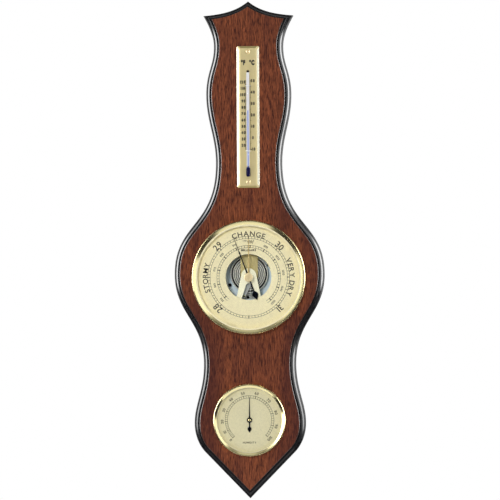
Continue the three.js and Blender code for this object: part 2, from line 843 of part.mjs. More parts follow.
function movementPlate() {
  const back = caseFloorFront - 1;
  const front = plateFront + 1;
  const screws = movementScrewPlaces.map(([x, z]) =>
    rod(x, z, movementScrewRadius + seatGap, back, front),
  );
  const adjuster = rod(0, adjusterHeight, adjusterRadius + seatGap, back, front, smallFacets);
  const rockerScrew = rod(...rockerScrewPlace, rockerScrewRadius + seatGap, back, front);
  const blank = disc(movementPlateRadius, caseFloorFront, plateFront, middleFacets);
  return cut(blank, ...screws, adjuster, rockerScrew);
}

// A cheese-head screw whose head stands on seat, with its shank towards the wall down to end
function screw([x, z], headRadius, headHeight, shankRadius, seat, end) {
  const profile = [
    [0, seat + headHeight], [headRadius * 0.85, seat + headHeight],
    [headRadius, seat + headHeight * 0.7], [headRadius, seat], [shankRadius, seat],
    [shankRadius, end], [0, end],
  ];
  const slot = block(
    -headRadius - 1, headRadius + 1, seat + headHeight * 0.5, seat + headHeight + 1,
    -headRadius * 0.15, headRadius * 0.15,
  );
  return cut(turned(profile, smallFacets), slot).translate(x, 0, z);
}

// Capsule: two dished halves with corrugated faces, drawn as in the middle of their travel
function dish(outward, skinSide, centreRadius) {
  const rimStart = capsuleRadius - 2;
  const face = (radius) => {
    const share = (radius - centreRadius) / (rimStart - centreRadius);
    return outward * capsuleRingHeight * 0.5 * (Math.cos(share * capsuleRings * 2 * Math.PI) - 1);
  };
  const outer = [];
  const steps = capsuleRings * 3;
  for (let i = 0; i <= steps; i += 1) {
    const radius = centreRadius + ((rimStart - centreRadius) * i) / steps;
    outer.push([radius, skinSide + face(radius)]);
  }
  return { outer, rimStart };
}

function capsuleLower() {
  const { rimStart } = dish(-1, capsuleBack, capsuleStudRadius);
  return turned(
    [
      [0, plateFront], [capsuleStudRadius, plateFront], [capsuleStudRadius, capsuleBack],
      [rimStart, capsuleBack], [capsuleRadius - 1.2, capsuleSplit - capsuleSkin],
      [capsuleRadius, capsuleSplit - capsuleSkin], [capsuleRadius, capsuleSplit],
      [capsuleRadius - 1.6, capsuleSplit], [rimStart - 0.4, capsuleBack + capsuleSkin],
      [0, capsuleBack + capsuleSkin],
    ],
    middleFacets,
  ).translate(0, 0, capsuleRise);
}

const capsulePostFront = leafFront + seatGap + 2 * capsulePinRadius + 0.6;
const capsulePinDepth = leafFront + seatGap + capsulePinRadius;

function capsuleUpper() {
  const { outer, rimStart } = dish(1, capsuleFront, capsulePostRadius + 1);
  const skinBack = capsuleFront - capsuleRingHeight - capsuleSkin;
  const profile = [
    [0, capsulePostFront], [capsulePostRadius, capsulePostFront],
    [capsulePostRadius, capsuleFront], ...outer,
    [capsuleRadius - 1.2, capsuleUpperBack + capsuleSkin],
    [capsuleRadius, capsuleUpperBack + capsuleSkin], [capsuleRadius, capsuleUpperBack],
    [capsuleRadius - 1.6, capsuleUpperBack], [rimStart - 0.4, skinBack], [0, skinBack],
  ];
  const pinHole = crossPin(
    capsulePinRadius + seatGap / 2, -capsulePostRadius - 1, capsulePostRadius + 1,
    0, capsulePinDepth,
  );
  return cut(turned(profile, middleFacets), pinHole).translate(0, 0, capsuleRise);
}

function capsulePin() {
  const half = capsulePinLength / 2;
  return crossPin(capsulePinRadius, -half, half, capsuleRise, capsulePinDepth);
}

// Main spring: a leaf clamped to a C-shaped bracket above the capsule
function springBracket() {
  const [footLow, footHigh] = bracketFootSpan;
  const footFront = plateFront + bracketFoot;
  const flangeBack = leafBack - bracketFlange;
  const shape = polygon([
    [plateFront, footLow], [footFront, footLow], [footFront, leafTop - bracketWeb],
    [flangeBack, leafTop - bracketWeb], [flangeBack, leafTop - bracketFlangeLength],
    [leafBack, leafTop - bracketFlangeLength], [leafBack, leafTop], [footFront, leafTop],
    [footFront, footHigh], [plateFront, footHigh],
  ]);
  const half = leafWidth / 2;
  const adjuster = rod(
    0, adjusterHeight, adjusterRadius + seatGap, plateFront - 1, footFront + 1, smallFacets,
  );
  const end = leafFront - springScrewLength - seatGap;
  const screws = [-1, 1].map((side) =>
    rod(side * springScrewSpread, springScrewHeight, springScrewRadius + seatGap, end, leafFront),
  );
  return cut(barAlongX(shape, -half, half), adjuster, ...screws);
}

function springScrew(side) {
  return screw(
    [side * springScrewSpread, springScrewHeight], springScrewHead, springScrewHeadHeight,
    springScrewRadius, leafFront, leafFront - springScrewLength,
  );
}

function mainSpring() {
  const half = leafWidth / 2;
  const outline = polygon([
    [-half, leafTop], [-half, leafEnd + half * 0.3], [-half * 0.75, leafEnd],
    [half * 0.75, leafEnd], [half, leafEnd + half * 0.3], [half, leafTop],
  ]);
  const post = capsulePostRadius + 2 * seatGap;
  const holes = [rod(0, capsuleRise, post, leafBack - 1, leafFront + 1, smallFacets)];
  for (const side of [-1, 1]) {
    const place = [side * springScrewSpread, springScrewHeight];
    holes.push(rod(...place, springScrewRadius + seatGap, leafBack - 1, leafFront + 1));
  }
  return cut(plate(outline, leafBack, leafFront), ...holes);
}

// The adjusting screw, reached from the back of the case
function adjustingScrew() {
  const headFront = caseBackDepth - seatGap;
  const headBack = headFront - adjusterHeadHeight;
  const end = plateFront + bracketFoot + adjusterEnd;
  const profile = [
    [0, headBack], [adjusterHead, headBack], [adjusterHead, headFront],
    [adjusterRadius, headFront], [adjusterRadius, end - 0.6], [adjusterRadius * 0.6, end],
    [0, end],
  ];
  const slot = block(
    -adjusterHead - 1, adjusterHead + 1, headBack - 1, headBack + adjusterHeadHeight / 2,
    -adjusterSlot / 2, adjusterSlot / 2,
  );
  return cut(turned(profile, smallFacets), slot).translate(0, 0, adjusterHeight);
}

// Lever arm: riveted to the end of the leaf and reaching down to the link
function leverArm() {
  const shape = new THREE.Shape();
  shape.moveTo(-leverRootHalf, leverRoot);
  shape.lineTo(-leverRootHalf, leafEnd);
  shape.lineTo(linkX - leverEndRadius, leverEnd);
  shape.absarc(linkX, leverEnd, leverEndRadius, Math.PI, 2 * Math.PI, false);
  shape.lineTo(leverNeckHalf, leafEnd - leverNeckHalf);
  shape.lineTo(leverRootHalf, leafEnd);
  shape.lineTo(leverRootHalf, leverRoot);
  const hole = rod(linkX, leverEnd, linkRadius + seatGap, leafFront - 1, leverFront + 1);
  const rivets = [-1, 1].map((side) => {
    const height = (leverRoot + leafEnd) / 2;
    const front = leverFront + leverRivetHeight;
    return rod(side * leverRivetSpread, height, leverRivetRadius, leafFront + 0.2, front);
  });
  return join(cut(plate(shape, leafFront, leverFront), hole), ...rivets);
}

function linkRod() {
  const headFront = leverFront + linkHeadHeight;
  const end = rockerDepth + crankThickness / 2 + seatGap;
  const profile = [
    [0, headFront], [linkHead * 0.8, headFront], [linkHead, leverFront + linkHeadHeight / 2],
    [linkHead, leverFront], [linkRadius, leverFront], [linkRadius, end], [0, end],
  ];
  return turned(profile, pinFacets).translate(linkX, 0, leverEnd);
}

// Rocker: a shaft in two ears, with a short crank below it and a long chain arm in front
function rockerShaft() {
  const [left, right] = rockerSpan;
  const shaft = crossPin(rockerRadius, left, right, rockerHeight, rockerDepth);
  const reach = earThickness + seatGap;
  const pivots = crossPin(rockerPivot, left - reach, right + reach, rockerHeight, rockerDepth);
  const halfCrank = crankThickness / 2;
  const crank = block(
    linkX - crankEye, linkX + crankEye, rockerDepth - halfCrank, rockerDepth + halfCrank,
    leverEnd - crankEye, rockerHeight,
  );
  const half = chainArmWidth / 2;
  const arm = block(
    chainRadius - half, chainRadius + half, rockerDepth, chainDepth + half,
    rockerHeight - half, rockerHeight + half,
  );
  return join(shaft, pivots, crank, arm);
}

function rockerBracket() {
  const [left, right] = rockerSpan;
  const [low, high] = rockerBaseSpan;
  const baseFront = plateFront + rockerBaseThickness;
  const earFront = rockerDepth + earHeight;
  const outerLeft = left - seatGap - earThickness;
  const outerRight = right + seatGap + earThickness;
  const foot = block(outerLeft, outerRight, plateFront, baseFront, low, high);
  const ear = (fromX) =>
    block(
      fromX, fromX + earThickness, plateFront, earFront,
      rockerHeight - earWidth / 2, rockerHeight + earWidth / 2,
    );
  const bore = crossPin(
    rockerPivot + seatGap, outerLeft - 1, outerRight + 1, rockerHeight, rockerDepth,
  );
  const hole = rod(...rockerScrewPlace, rockerScrewRadius + seatGap, plateFront - 1, baseFront + 1);
  return cut(join(foot, ear(outerLeft), ear(right + seatGap)), bore, hole);
}

function rockerScrew() {
  return screw(
    rockerScrewPlace, rockerScrewHead, rockerScrewHeadHeight, rockerScrewRadius,
    plateFront + rockerBaseThickness, caseFloorFront + seatGap,
  );
}

// Chain from the tip of the arm to the right-hand side of the drum
function chain() {
  const half = chainWidth / 2;
  const low = rockerHeight + chainArmWidth / 2 + seatGap;
  return block(
    chainRadius - half, chainRadius + half, chainDepth - half, chainDepth + half, low, 0,
  );
}

// Pointer arbor with its drum, turning between the lower cock and the bridge
function pointerArbor() {
  const behind = cockBack - arborPivot;
  const profile = [
    [0, behind], [arborRadius, behind], [arborRadius, drumBack - drumFlangeThickness],
    [drumFlange, drumBack - drumFlangeThickness], [drumFlange, drumBack],
    [drumRadius, drumBack], [drumRadius, drumFront], [arborRadius, drumFront],
    [arborRadius, bridgeFront + headGap], [arborFrontRadius, bridgeFront + headGap],
    [arborFrontRadius, pointerHubFront + 0.1], [0, pointerHubFront + 0.1],
  ];
  return turned(profile, smallFacets);
}

function hairspring() {
  return spiral(
    hairspringRadii, hairspringTurns, hairspringThickness, hairspringBack, hairspringFront,
  );
}

const studPlace = hairspringRadii[1] + hairspringThickness / 2 + seatGap + hairspringStudRadius;

function hairspringStud() {
  return rod(studPlace, 0, hairspringStudRadius, hairspringBack - 0.2, bridgeBack);
}

// Bridge and lower cock: arched frames that stand on two pillars below the arbor
function archedFrame(narrower) {
  const half = bridgeHalf - narrower;
  const shape = new THREE.Shape();
  const spring = bridgeArch - bridgeHalf;
  const footHalf = bridgeFootHalf - narrower;
  shape.moveTo(half, spring);
  shape.absarc(0, spring, half, 0, Math.PI, false);
  shape.lineTo(-footHalf, bridgeFoot + 2);
  shape.lineTo(-footHalf + 2, bridgeFoot);
  shape.lineTo(footHalf - 2, bridgeFoot);
  shape.lineTo(footHalf, bridgeFoot + 2);
  const window = new THREE.Path();
  const windowSpring = windowTop - windowHalf;
  window.moveTo(windowHalf, windowSpring);
  window.lineTo(windowFootHalf, windowFoot);
  window.lineTo(-windowFootHalf, windowFoot);
  window.lineTo(-windowHalf, windowSpring);
  window.absarc(0, windowSpring, windowHalf, Math.PI, 0, true);
  shape.holes.push(window);
  return shape;
}

function frameHoles(back, front) {
  const [x, z] = pillarPlace;
  const screws = [-x, x].map((side) => rod(side, z, bridgeScrewRadius + seatGap, back, front));
  return [...screws, rod(0, 0, arborRadius + seatGap, back, front, smallFacets)];
}

function lowerCock() {
  const holes = frameHoles(cockBack - 1, cockFront + 1);
  return cut(plate(archedFrame(0.6), cockBack, cockFront), ...holes);
}

function pointerBridge() {
  const holes = frameHoles(bridgeBack - 1, bridgeFront + 1);
  return cut(plate(archedFrame(0), bridgeBack, bridgeFront), ...holes);
}

function pillar(side) {
  const bore = bridgeScrewRadius + seatGap;
  const boreBack = cockBack - pillarBore;
  const profile = [
    [0, plateFront], [pillarRadius, plateFront], [pillarRadius, cockBack], [bore, cockBack],
    [bore, boreBack], [0, boreBack],
  ];
  const [x, z] = pillarPlace;
  return turned(profile, smallFacets).translate(side * x, 0, z);
}

function spacer(side) {
  const [x, z] = pillarPlace;
  const bore = bridgeScrewRadius + seatGap;
  return ring(bore, pillarRadius, cockFront, bridgeBack, smallFacets).translate(side * x, 0, z);
}

function bridgeScrew(side) {
  const [x, z] = pillarPlace;
  return screw(
    [side * x, z], bridgeScrewHead, bridgeScrewHeadHeight, bridgeScrewRadius,
    bridgeFront, cockBack - pillarBore + seatGap,
  );
}

// Hands
function indicatingHand() {
  const shape = new THREE.Shape();
  shape.moveTo(-pointerRootHalf, 0);
  shape.lineTo(-pointerTipHalf, pointerLength - 0.5);
  shape.lineTo(0, pointerLength);
  shape.lineTo(pointerTipHalf, pointerLength - 0.5);
  shape.lineTo(pointerRootHalf, 0);
  shape.lineTo(tailHalf, -finStart);
  shape.quadraticCurveTo(finHalf, -finStart - 1, finHalf, -finStart - 3.4);
  shape.quadraticCurveTo(finHalf * 0.8, -pointerTail + 2, 0, -pointerTail);
  shape.quadraticCurveTo(-finHalf * 0.8, -pointerTail + 2, -finHalf, -finStart - 3.4);
  shape.quadraticCurveTo(-finHalf, -finStart - 1, -tailHalf, -finStart);
  const hub = disc(pointerHub, pointerBack, pointerHubFront, smallFacets);
  const blade = plate(shape, pointerBack, pointerFront, 4);
  const bore = disc(arborFrontRadius + seatGap, pointerBack - 1, pointerHubFront + 1, smallFacets);
  return cut(join(blade, hub), bore).rotateY(THREE.MathUtils.degToRad(restAngle));
}

function setHand() {
  const shape = polygon([
    [-setHandRootHalf, 0], [setHandRootHalf, 0], [setHandTipHalf, setHandLength - 0.5],
    [0, setHandLength], [-setHandTipHalf, setHandLength - 0.5],
  ]);
  const blade = plate(shape, setHandBack, setHandFront);
  const shaftFront = knobFront - knobDome - 0.6;
  const hub = disc(setHandHub, setHandBack, glassBack - seatGap, smallFacets);
  return join(blade, hub, disc(setShaftRadius, setHandBack, shaftFront, smallFacets));
}

function setHandKnob() {
  const bore = setShaftRadius + seatGap;
  const boreFront = knobFront - knobDome;
  const profile = [
    [bore, knobBack], [knobRadius - 0.4, knobBack], [knobRadius, knobBack + 0.4],
    [knobRadius, boreFront], [knobRadius - 0.5, knobFront - knobDome * 0.45],
    [knobRadius * 0.55, knobFront - knobDome * 0.1], [0, knobFront], [0, boreFront],
    [bore, boreFront],
  ];
  return turnedKnob(profile);
}

// The knob's profile meets the axis in its middle, so it is turned in one piece from there
function turnedKnob(profile) {
  const onAxis = profile.findIndex(([radius]) => radius === 0);
  const ordered = [...profile.slice(onAxis + 1), ...profile.slice(0, onAxis + 1)];
  return turned(ordered, knobFacets);
}

function setHandWasher() {
  return ring(setShaftRadius + seatGap, washerRadius, glassFront, washerFront, smallFacets);
}

// Hygrometer
function hygrometerCase() {
  const back = hygroCaseBackDepth - 1;
  const front = hygroCaseBackDepth + caseWall + 1;
  const vents = [45, 135, 225, 315].map((degrees) => {
    const angle = THREE.MathUtils.degToRad(degrees);
    const x = hygroVentPlace * Math.cos(angle);
    const z = hygroVentPlace * Math.sin(angle);
    return rod(x, z, hygroVentRadius, back, front);
  });
  const shell = cup(hygroCaseRadius, hygroDialRadius, hygroCaseBackDepth, faceDepth, hygroFacets);
  return cut(shell, ...vents);
}

function hygrometerDial() {
  const bore = hygroArborRadius + seatGap;
  return ring(bore, hygroDialRadius, flangeFront, hygroDialFront, hygroFacets);
}

function hygrometerFrame() {
  const half = hygroFrameHeight / 2;
  const bar = block(
    -hygroFrameHalf, hygroFrameHalf, hygroFrameBack, hygroFrameFront, -half, half,
  );
  const inside = hygroFrameBack + hygroFrameThickness / 2;
  const pillars = [-1, 1].map((side) =>
    rod(side * hygroPillarPlace, 0, hygroPillarRadius, inside, flangeFront, smallFacets),
  );
  const postPlace = coilRadii[1] + coilThickness / 2 + seatGap + coilPostRadius;
  const post = rod(postPlace, 0, coilPostRadius, inside, coilFront);
  const bore = rod(
    0, 0, hygroArborRadius + seatGap, hygroFrameBack - 1, hygroFrameFront + 1, smallFacets,
  );
  return cut(join(bar, ...pillars, post), bore);
}

function hygrometerCoil() {
  return spiral(coilRadii, coilTurns, coilThickness, coilBack, coilFront);
}

function hygrometerArbor() {
  const collet = coilRadii[0] - coilThickness / 2 - seatGap;
  const bossFront = hygroHubFront + hygroBossFront;
  return turned(
    [
      [0, hygroFrameBack], [hygroArborRadius, hygroFrameBack], [hygroArborRadius, coilBack],
      [collet, coilBack], [collet, coilFront], [hygroArborRadius, coilFront],
      [hygroArborRadius, hygroDialFront + seatGap], [hygroBoss, hygroDialFront + seatGap],
      [hygroBoss, bossFront - 0.2], [hygroBoss - 0.2, bossFront], [0, bossFront],
    ],
    smallFacets,
  );
}

function hygrometerHand() {
  const shape = new THREE.Shape();
  const spadeTop = hygroSpadePlace - hygroSpadeHalf;
  shape.moveTo(-hygroHandRootHalf, 0);
  shape.lineTo(-hygroHandTipHalf, hygroHandLength - 0.5);
  shape.lineTo(0, hygroHandLength);
  shape.lineTo(hygroHandTipHalf, hygroHandLength - 0.5);
  shape.lineTo(hygroHandRootHalf, 0);
  shape.lineTo(hygroHandRootHalf, -spadeTop);
  shape.quadraticCurveTo(hygroSpadeHalf, -spadeTop, hygroSpadeHalf, -hygroSpadePlace);
  shape.lineTo(0, -hygroTail);
  shape.lineTo(-hygroSpadeHalf, -hygroSpadePlace);
  shape.quadraticCurveTo(-hygroSpadeHalf, -spadeTop, -hygroHandRootHalf, -spadeTop);
  const blade = plate(shape, hygroHandBack, hygroHandBack + hygroHandThickness, 3);
  const hub = disc(hygroHub, hygroHandBack, hygroHubFront, smallFacets);
  const bore = disc(hygroBoss + seatGap, hygroHandBack - 1, hygroHubFront + 1, smallFacets);
  return cut(join(blade, hub), bore);
}

// Finishes
function finish(color, roughness, metalness = 0) {
  return () => new THREE.MeshStandardMaterial({ color, roughness, metalness });
}

const blackLacquer = finish(0x14100e, 0.2);
const mahogany = finish(0x6b3426, 0.35);
const polishedBrass = finish(0xd8bd6a, 0.15, 1);
const satinBrass = finish(0xcdbe87, 0.4, 1);
const dialGold = finish(0xe1dcaf, 0.45, 0.4);
const hygroGold = finish(0xd4cda5, 0.45, 0.4);
const clearGlass = finish(0xe8f0f2, 0.05);
const blueSpirit = finish(0x2c3a9c, 0.2);
const whiteWire = finish(0xf0f0ee, 0.4);
const zincSteel = finish(0xa9b4bd, 0.35, 1);
const capsuleSilver = finish(0xc8cacb, 0.3, 1);
const springBrass = finish(0xa99a5e, 0.4, 1);
const greySteel = finish(0x84868a, 0.35, 1);
const bluedSteel = finish(0x232a3c, 0.3, 0.9);
const creamPlastic = finish(0xf8f2de, 0.5);

const barometer = new THREE.Group();
barometer.name = "barometer";
const hygrometer = new THREE.Group();
hygrometer.name = "hygrometer";
const wallBarometer = new THREE.Group();
wallBarometer.name = "wall_barometer";
wallBarometer.add(barometer, hygrometer);
barometer.position.z = heightOf(barometerDrop);
hygrometer.position.z = heightOf(hygroDrop);

function place(group, name, geometry, material) {
  const mesh = new THREE.Mesh(geometry, material());
  mesh.name = name;
  group.add(mesh);
}

const sides = { left: -1, right: 1 };

// Board, hanger and thermometer
place(wallBarometer, "moulded_board", mouldedBoard(), blackLacquer);
place(wallBarometer, "veneer_face", veneerFace(), mahogany);
place(wallBarometer, "hanger_bar", hangerBar(), zincSteel);
hangerScrewPlaces().forEach((x, i) => {
  place(wallBarometer, `hanger_screw_${Object.keys(sides)[i]}`, hangerScrew(x), polishedBrass);
});
place(wallBarometer, "thermometer_plate", thermometerPlate(), satinBrass);
place(wallBarometer, "thermometer_tube", thermometerTube(), clearGlass);
place(wallBarometer, "spirit_column", spiritColumn(), blueSpirit);
place(wallBarometer, "tube_clip_top", tubeClip(clipDrops[0]), whiteWire);
place(wallBarometer, "tube_clip_bottom", tubeClip(clipDrops[1]), whiteWire);
place(wallBarometer, "plate_pin_top", platePin(pinSpan / 2), polishedBrass);
place(wallBarometer, "plate_pin_bottom", platePin(-pinSpan / 2), polishedBrass);

// Barometer case
place(barometer, "barometer_case", barometerCase(), zincSteel);
place(
  barometer, "dial_support_ring",
  ring(dialRadius - supportRingWall, dialRadius, flangeFront, dialBack, wideFacets), zincSteel,
);
place(
  barometer, "barometer_dial",
  ring(dialOpening, dialRadius, dialBack, dialFront, wideFacets), dialGold,
);
place(
  barometer, "barometer_seat_ring",
  ring(lipRadius, glassRadius, dialFront, glassBack, wideFacets), polishedBrass,
);
place(
  barometer, "barometer_glass",
  ring(setShaftRadius + seatGap, glassRadius, glassBack, glassFront, wideFacets), clearGlass,
);
place(
  barometer, "barometer_bezel",
  bezel(
    bezelRadius, bezelBore, lipRadius, faceDepth, bezelFront, bezelShoulder,
    glassFront + seatGap, wideFacets,
  ),
  polishedBrass,
);

// Barometer movement
place(barometer, "movement_plate", movementPlate(), zincSteel);
["left", "right", "lower"].forEach((where, i) => {
  const fastener = screw(
    movementScrewPlaces[i], movementScrewHead, movementScrewHeadHeight, movementScrewRadius,
    plateFront, caseBackDepth + seatGap,
  );
  place(barometer, `movement_screw_${where}`, fastener, bluedSteel);
});
place(barometer, "capsule_lower", capsuleLower(), capsuleSilver);
place(barometer, "capsule_upper", capsuleUpper(), capsuleSilver);
place(barometer, "capsule_pin", capsulePin(), greySteel);
place(barometer, "spring_bracket", springBracket(), greySteel);
place(barometer, "main_spring", mainSpring(), springBrass);
place(barometer, "adjusting_screw", adjustingScrew(), polishedBrass);
place(barometer, "lever_arm", leverArm(), greySteel);
place(barometer, "link_rod", linkRod(), polishedBrass);
place(barometer, "rocker_shaft", rockerShaft(), greySteel);
place(barometer, "rocker_bracket", rockerBracket(), satinBrass);
place(barometer, "rocker_bracket_screw", rockerScrew(), bluedSteel);
place(barometer, "chain", chain(), greySteel);
place(barometer, "pointer_arbor", pointerArbor(), greySteel);
place(barometer, "hairspring", hairspring(), bluedSteel);
place(barometer, "hairspring_stud", hairspringStud(), satinBrass);
place(barometer, "lower_cock", lowerCock(), satinBrass);
place(barometer, "pointer_bridge", pointerBridge(), creamPlastic);
for (const [where, side] of Object.entries(sides)) {
  place(barometer, `spring_screw_${where}`, springScrew(side), bluedSteel);
  place(barometer, `bridge_pillar_${where}`, pillar(side), satinBrass);
  place(barometer, `bridge_spacer_${where}`, spacer(side), satinBrass);
  place(barometer, `bridge_screw_${where}`, bridgeScrew(side), bluedSteel);
}
place(barometer, "indicating_hand", indicatingHand(), bluedSteel);
place(barometer, "set_hand", setHand(), polishedBrass);
place(barometer, "set_hand_washer", setHandWasher(), polishedBrass);
place(barometer, "set_hand_knob", setHandKnob(), polishedBrass);

// Hygrometer
place(hygrometer, "hygrometer_case", hygrometerCase(), zincSteel);
place(hygrometer, "hygrometer_dial", hygrometerDial(), hygroGold);
place(
  hygrometer, "hygrometer_seat_ring",
  ring(hygroLipRadius, hygroGlassRadius, hygroDialFront, hygroGlassBack, hygroFacets),
  polishedBrass,
);
place(
  hygrometer, "hygrometer_glass",
  disc(hygroGlassRadius, hygroGlassBack, hygroGlassFront, hygroFacets), clearGlass,
);
place(
  hygrometer, "hygrometer_bezel",
  bezel(
    hygroBezelRadius, hygroBore, hygroLipRadius, faceDepth, hygroBezelFront,
    hygroBezelShoulder, hygroGlassFront + seatGap, hygroFacets,
  ),
  polishedBrass,
);
place(hygrometer, "hygrometer_frame", hygrometerFrame(), satinBrass);
place(hygrometer, "hygrometer_coil", hygrometerCoil(), springBrass);
place(hygrometer, "hygrometer_arbor", hygrometerArbor(), polishedBrass);
place(hygrometer, "hygrometer_hand", hygrometerHand(), bluedSteel);

export default wallBarometer;
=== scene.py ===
"""Visible pieces, finishes and stage of a wall barometer, built around its CAD frame."""

import json
import math
from functools import partial

import bmesh
import bpy
import numpy as np
from bpy.props import FloatProperty, FloatVectorProperty, PointerProperty
from mathutils import Matrix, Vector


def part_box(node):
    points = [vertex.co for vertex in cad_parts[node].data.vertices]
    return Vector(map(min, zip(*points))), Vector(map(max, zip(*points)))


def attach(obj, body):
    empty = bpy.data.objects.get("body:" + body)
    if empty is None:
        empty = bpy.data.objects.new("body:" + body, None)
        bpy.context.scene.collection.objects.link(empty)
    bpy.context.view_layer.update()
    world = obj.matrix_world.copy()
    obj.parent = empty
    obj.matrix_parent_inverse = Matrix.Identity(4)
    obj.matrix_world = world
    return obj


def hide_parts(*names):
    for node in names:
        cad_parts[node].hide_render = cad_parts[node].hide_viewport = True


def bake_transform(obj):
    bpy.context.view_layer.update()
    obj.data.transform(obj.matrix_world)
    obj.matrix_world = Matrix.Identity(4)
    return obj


bl_info = {
    "name": "Wall barometer",
    "version": (1, 0, 0),
    "blender": (4, 5, 0),
    "location": "View3D > Sidebar > Barometer",
    "description": "Builds the visible pieces of a wall barometer on its CAD frame",
    "category": "Add Mesh",
}

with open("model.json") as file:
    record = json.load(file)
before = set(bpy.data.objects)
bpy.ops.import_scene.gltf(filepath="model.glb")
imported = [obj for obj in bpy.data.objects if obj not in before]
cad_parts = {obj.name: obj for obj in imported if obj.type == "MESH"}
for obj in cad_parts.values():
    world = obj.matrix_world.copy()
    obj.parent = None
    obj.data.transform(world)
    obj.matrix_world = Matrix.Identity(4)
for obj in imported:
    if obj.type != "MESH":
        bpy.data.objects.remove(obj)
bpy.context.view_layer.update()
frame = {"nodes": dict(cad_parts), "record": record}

MM = 0.001
BODY_OF = {n: b for b, nodes in frame["record"]["behaviour"]["bodies"].items() for n in nodes}


def extent(node):
    """Lowest and highest corner of a CAD node in millimetres."""
    low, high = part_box(node)
    return np.array(low) / MM, np.array(high) / MM


def middle(node):
    """Height in millimetres of the middle of a CAD node."""
    low, high = extent(node)
    return (low[2] + high[2]) / 2


def depths(node):
    """Distances in millimetres from the wall to the back and to the front of a CAD node."""
    low, high = extent(node)
    return -high[1], -low[1]


def back_of(node):
    """Distance in millimetres from the wall to the back of a CAD node."""
    return depths(node)[0]


def front_of(node):
    """Distance in millimetres from the wall to the front of a CAD node."""
    return depths(node)[1]


def half_width(node):
    """Half the width in millimetres of a CAD node."""
    low, high = extent(node)
    return (high[0] - low[0]) / 2


def radius_of(node):
    """Half the height in millimetres of a CAD node, the radius of a round one."""
    low, high = extent(node)
    return (high[2] - low[2]) / 2


DIAL_HEIGHT = middle("barometer_dial")
HYGRO_HEIGHT = middle("hygrometer_dial")
PLATE_HEIGHT = middle("thermometer_plate")
BOARD_TOP = extent("moulded_board")[1][2]
TUBE_TOP = extent("thermometer_tube")[1][2]
CAPSULE_HEIGHT = DIAL_HEIGHT + 3.5
PRINT_LIFT = 0.04  # how far the printing stands before its sheet, in millimetres
MERGE_DISTANCE = 1e-7  # points that are closer than this become one, in metres
LARGEST_SHARE = 0.45  # how much of a side goes into a rounded corner at most


# Properties


def length(name, description, default):
    """A size property that is written in millimetres and kept in metres."""
    return FloatProperty(
        name=name, description=description, default=default * MM, unit="LENGTH", precision=5
    )


def colour(name, description, default):
    """A linear colour property."""
    return FloatVectorProperty(
        name=name, description=description, default=default, subtype="COLOR", size=3, min=0, max=1
    )


class BarometerSizes(bpy.types.PropertyGroup):
    """Sizes of the barometer's visible details."""

    moulding: length("Moulding", "Width of the black moulding round the board", 6.8)
    numeral: length("Numerals", "Height of the inch numerals on the dial", 6.9)
    word: length("Words", "Height of the weather words on the dial", 5.7)
    pressure_numeral: length("Inner numerals", "Height of the millibar numerals", 2.5)
    degree: length("Degrees", "Height of the numerals beside the thermometer", 3.0)
    unit_letter: length("Degree signs", "Height of the two degree signs on the plate", 5.0)
    humidity_numeral: length("Humidity numerals", "Height of the humidity numerals", 3.1)
    line: length("Printed line", "Width of the fine printed lines", 0.3)
    clip_wire: length("Clip wire", "Radius of the wire that holds the tube", 0.42)


class BarometerColours(bpy.types.PropertyGroup):
    """Colours of the barometer's finishes."""

    mahogany_light: colour("Light mahogany", "Light streaks of the face", (0.332, 0.095, 0.041))
    mahogany_dark: colour("Dark mahogany", "Dark streaks of the face", (0.040, 0.0135, 0.010))
    lacquer: colour("Lacquer", "Black lacquer of the moulding", (0.006, 0.006, 0.007))
    brass: colour("Brass", "Polished brass", (0.93, 0.83, 0.44))
    satin_brass: colour("Satin brass", "Brushed brass of the scale plate", (0.84, 0.71, 0.37))
    dial: colour("Dial", "Pale gold of the barometer's dial", (0.94, 0.84, 0.54))
    humidity_dial: colour("Small dial", "Pale gold of the hygrometer's dial", (0.75, 0.69, 0.45))
    spring: colour("Leaf spring", "Olive brass of the main spring", (0.74, 0.62, 0.29))
    capsule: colour("Capsule", "Bright metal of the capsule", (0.84, 0.84, 0.78))
    zinc: colour("Zinc", "Zinc plate of the cases", (0.80, 0.88, 0.96))
    steel: colour("Steel", "Steel of the levers", (0.66, 0.68, 0.66))
    blued: colour("Blued steel", "Blued steel of pointer and screws", (0.030, 0.038, 0.070))
    bridge: colour("Bridge", "Cream plastic of the bridge", (1.0, 0.95, 0.71))
    enamel: colour("Enamel", "White behind the thermometer's bore", (0.78, 0.775, 0.77))
    spirit: colour("Spirit", "Dyed spirit in the bore", (0.15, 0.25, 0.68))
    ink: colour("Ink", "Printing on the dials", (0.012, 0.010, 0.007))


def sizes():
    """The scene's size properties."""
    return bpy.context.scene.barometer_sizes


def colours():
    """The scene's colour properties."""
    return bpy.context.scene.barometer_colours


# Shapes


def grid_faces(rows, columns, wrap_rows=False, wrap_columns=False):
    """Quads of a grid: row i and column j join to row i + 1 and column j + 1, the last to the
    first where a direction is wrapped."""
    row = np.arange(rows if wrap_rows else rows - 1)
    column = np.arange(columns if wrap_columns else columns - 1)
    i, j = (index.ravel() for index in np.meshgrid(row, column, indexing="ij"))
    next_i, next_j = (i + 1) % rows, (j + 1) % columns
    corners = [(i, j), (next_i, j), (next_i, next_j), (i, next_j)]
    return np.stack([a * columns + b for a, b in corners], axis=1)


def new_object(name, mesh):
    """An object for a mesh, in the scene, at the origin."""
    piece = bpy.data.objects.new(name, mesh)
    bpy.context.scene.collection.objects.link(piece)
    return piece


def merged(mesh, turn_out=True):
    """Merges the doubles of a mesh and, for a closed shape, turns its faces outwards."""
    work = bmesh.new()
    work.from_mesh(mesh)
    bmesh.ops.remove_doubles(work, verts=work.verts, dist=MERGE_DISTANCE)
    if turn_out:
        bmesh.ops.recalc_face_normals(work, faces=work.faces)
    work.to_mesh(mesh)
    work.free()


